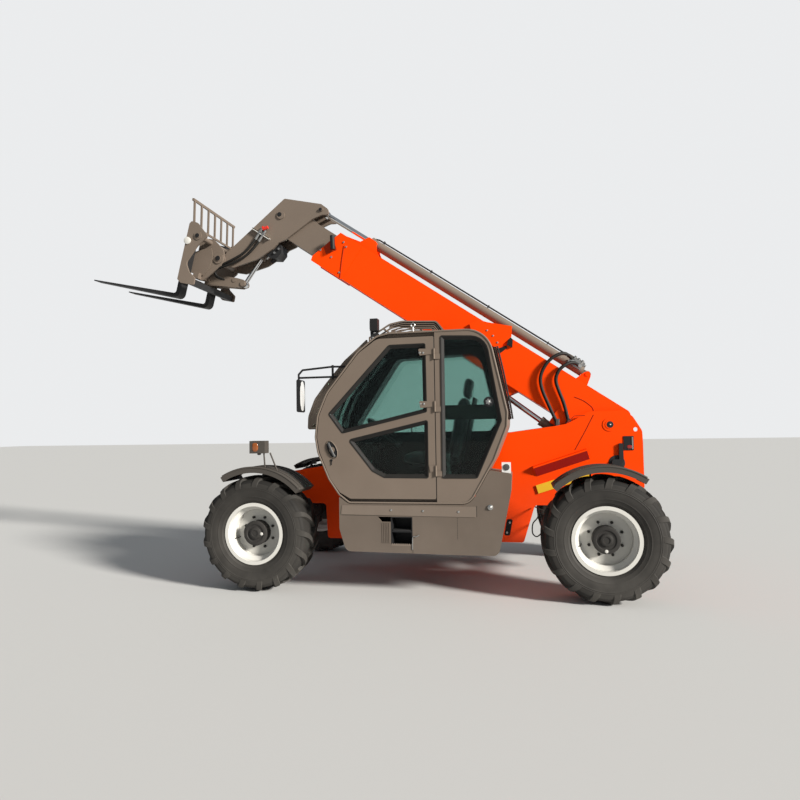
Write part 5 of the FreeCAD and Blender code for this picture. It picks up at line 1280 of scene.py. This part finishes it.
class HANDLER_OT_engine_cover(bpy.types.Operator):
    """Latches on the engine's cover"""

    bl_idname = "handler.engine_cover"
    bl_label = "Engine cover"

    def execute(self, context):
        latches = []
        for x in (-420, 360):
            latches.append(block_part(at(x, -1062, 1300), at(x + 60, -1049, 1330)))
        build("CoverLatches", latches, "plastic", "machine")
        return {"FINISHED"}


# Stage


class HANDLER_OT_stage(bpy.types.Operator):
    """Pale floor, sky light, sun and the camera at the photograph's angle"""

    bl_idname = "handler.stage"
    bl_label = "Stage"

    def execute(self, context):
        settings = context.scene.handler_stage
        make_floor(settings)
        make_light(settings)
        make_camera()
        context.scene.view_settings.view_transform = "Standard"
        return {"FINISHED"}


def make_floor(settings):
    """A large flat square at the ground."""
    reach = 60.0
    points = np.array([(-reach, -reach, 0), (reach, -reach, 0), (reach, reach, 0), (-reach, reach, 0)], float)
    mesh = bpy.data.meshes.new("Floor")
    mesh.from_pydata([tuple(p) for p in points.tolist()], [], [(0, 1, 2, 3)])
    material, tree, shader = new_material("FloorPaint", settings.floor, 0.85)
    mesh.materials.append(material)
    floor = bpy.data.objects.new("Floor", mesh)
    floor.location.z = -0.001
    bpy.context.scene.collection.objects.link(floor)


def make_light(settings):
    """A pale sky that reads as white behind the object, and one soft sun from the camera's side."""
    world = bpy.data.worlds.new("Sky")
    bpy.context.scene.world = world
    world.use_nodes = True
    tree = world.node_tree
    tree.nodes.clear()
    out = tree.nodes.new("ShaderNodeOutputWorld")
    light = tree.nodes.new("ShaderNodeBackground")
    light.inputs["Color"].default_value = (0.90, 0.95, 1.0, 1.0)
    light.inputs["Strength"].default_value = settings.fill
    backdrop = tree.nodes.new("ShaderNodeBackground")
    backdrop.inputs["Color"].default_value = (0.83, 0.84, 0.85, 1.0)
    backdrop.inputs["Strength"].default_value = 1.0
    ray = tree.nodes.new("ShaderNodeLightPath")
    seen = tree.nodes.new("ShaderNodeMath")
    seen.operation = "MAXIMUM"
    tree.links.new(ray.outputs["Is Camera Ray"], seen.inputs[0])
    tree.links.new(ray.outputs["Is Transmission Ray"], seen.inputs[1])
    mix = tree.nodes.new("ShaderNodeMixShader")
    tree.links.new(seen.outputs["Value"], mix.inputs["Fac"])
    tree.links.new(light.outputs["Background"], mix.inputs[1])
    tree.links.new(backdrop.outputs["Background"], mix.inputs[2])
    tree.links.new(mix.outputs["Shader"], out.inputs["Surface"])
    sun = bpy.data.lights.new("Sun", "SUN")
    sun.energy = settings.key
    sun.angle = math.radians(9.0)
    sun.color = (1.0, 0.96, 0.90)
    sun.cycles.use_multiple_importance_sampling = False
    lamp = bpy.data.objects.new("Sun", sun)
    lamp.rotation_mode = "QUATERNION"
    lamp.rotation_quaternion = Vector((0.84, -0.38, -0.38)).to_track_quat("-Z", "Y")
    bpy.context.scene.collection.objects.link(lamp)


def make_camera():
    """Camera from the yaw, pitch and roll that the photograph was taken with."""
    yaw, pitch, roll = CAMERA_YAW, CAMERA_PITCH, CAMERA_ROLL
    ahead = Vector((-math.sin(yaw) * math.cos(pitch), -math.cos(yaw) * math.cos(pitch), math.sin(pitch)))
    right = Vector((-math.cos(yaw), math.sin(yaw), 0.0))
    up = right.cross(ahead)
    turned_right = math.cos(roll) * right + math.sin(roll) * up
    turned_up = -math.sin(roll) * right + math.cos(roll) * up
    camera = bpy.data.cameras.new("Camera")
    camera.sensor_width = SENSOR_MM
    camera.lens = SENSOR_MM * CAMERA_FOCAL_PX / IMAGE_PX
    camera.clip_end = 500.0
    holder = bpy.data.objects.new("Camera", camera)
    turn = Matrix((turned_right, turned_up, -ahead)).transposed()
    holder.matrix_world = Matrix.Translation(Vector(CAMERA_PLACE)) @ turn.to_4x4()
    bpy.context.scene.collection.objects.link(holder)
    bpy.context.scene.camera = holder


class HANDLER_OT_finishes(bpy.types.Operator):
    """Materials, and the finish of every node of the frame"""

    bl_idname = "handler.finishes"
    bl_label = "Finishes"

    def execute(self, context):
        make_materials(context.scene.handler_paint)
        paint_nodes()
        return {"FINISHED"}


class HANDLER_PT_panel(bpy.types.Panel):
    """Lists the builders and their settings"""

    bl_label = "Telehandler"
    bl_idname = "HANDLER_PT_panel"
    bl_space_type = "VIEW_3D"
    bl_region_type = "UI"
    bl_category = "Telehandler"

    def draw(self, context):
        for settings in (context.scene.handler_paint, context.scene.handler_stage):
            for name in settings.bl_rna.properties.keys():
                if name not in ("rna_type", "name"):
                    self.layout.prop(settings, name)
        for operator in OPERATORS:
            self.layout.operator(operator.bl_idname)


SETTINGS = (PaintSettings, StageSettings)
OPERATORS = (
    HANDLER_OT_finishes,
    HANDLER_OT_tyres,
    HANDLER_OT_wheel_fittings,
    HANDLER_OT_window_seals,
    HANDLER_OT_door_handle,
    HANDLER_OT_skirt_fittings,
    HANDLER_OT_lamp_lenses,
    HANDLER_OT_fender_ribs,
    HANDLER_OT_boom_fittings,
    HANDLER_OT_boom_hoses,
    HANDLER_OT_guard_plates,
    HANDLER_OT_seat,
    HANDLER_OT_head_fittings,
    HANDLER_OT_carriage_fittings,
    HANDLER_OT_chassis_fittings,
    HANDLER_OT_mirror_glass,
    HANDLER_OT_engine_cover,
    HANDLER_OT_stage,
)


def register():
    for cls in (*SETTINGS, *OPERATORS, HANDLER_PT_panel):
        bpy.utils.register_class(cls)
    bpy.types.Scene.handler_paint = bpy.props.PointerProperty(type=PaintSettings)
    bpy.types.Scene.handler_stage = bpy.props.PointerProperty(type=StageSettings)


def unregister():
    del bpy.types.Scene.handler_stage
    del bpy.types.Scene.handler_paint
    for cls in reversed((*SETTINGS, *OPERATORS, HANDLER_PT_panel)):
        bpy.utils.unregister_class(cls)


def main():
    register()
    for operator in OPERATORS:
        group, name = operator.bl_idname.split(".")
        getattr(getattr(bpy.ops, group), name)()


if __name__ == "__main__":
    main()
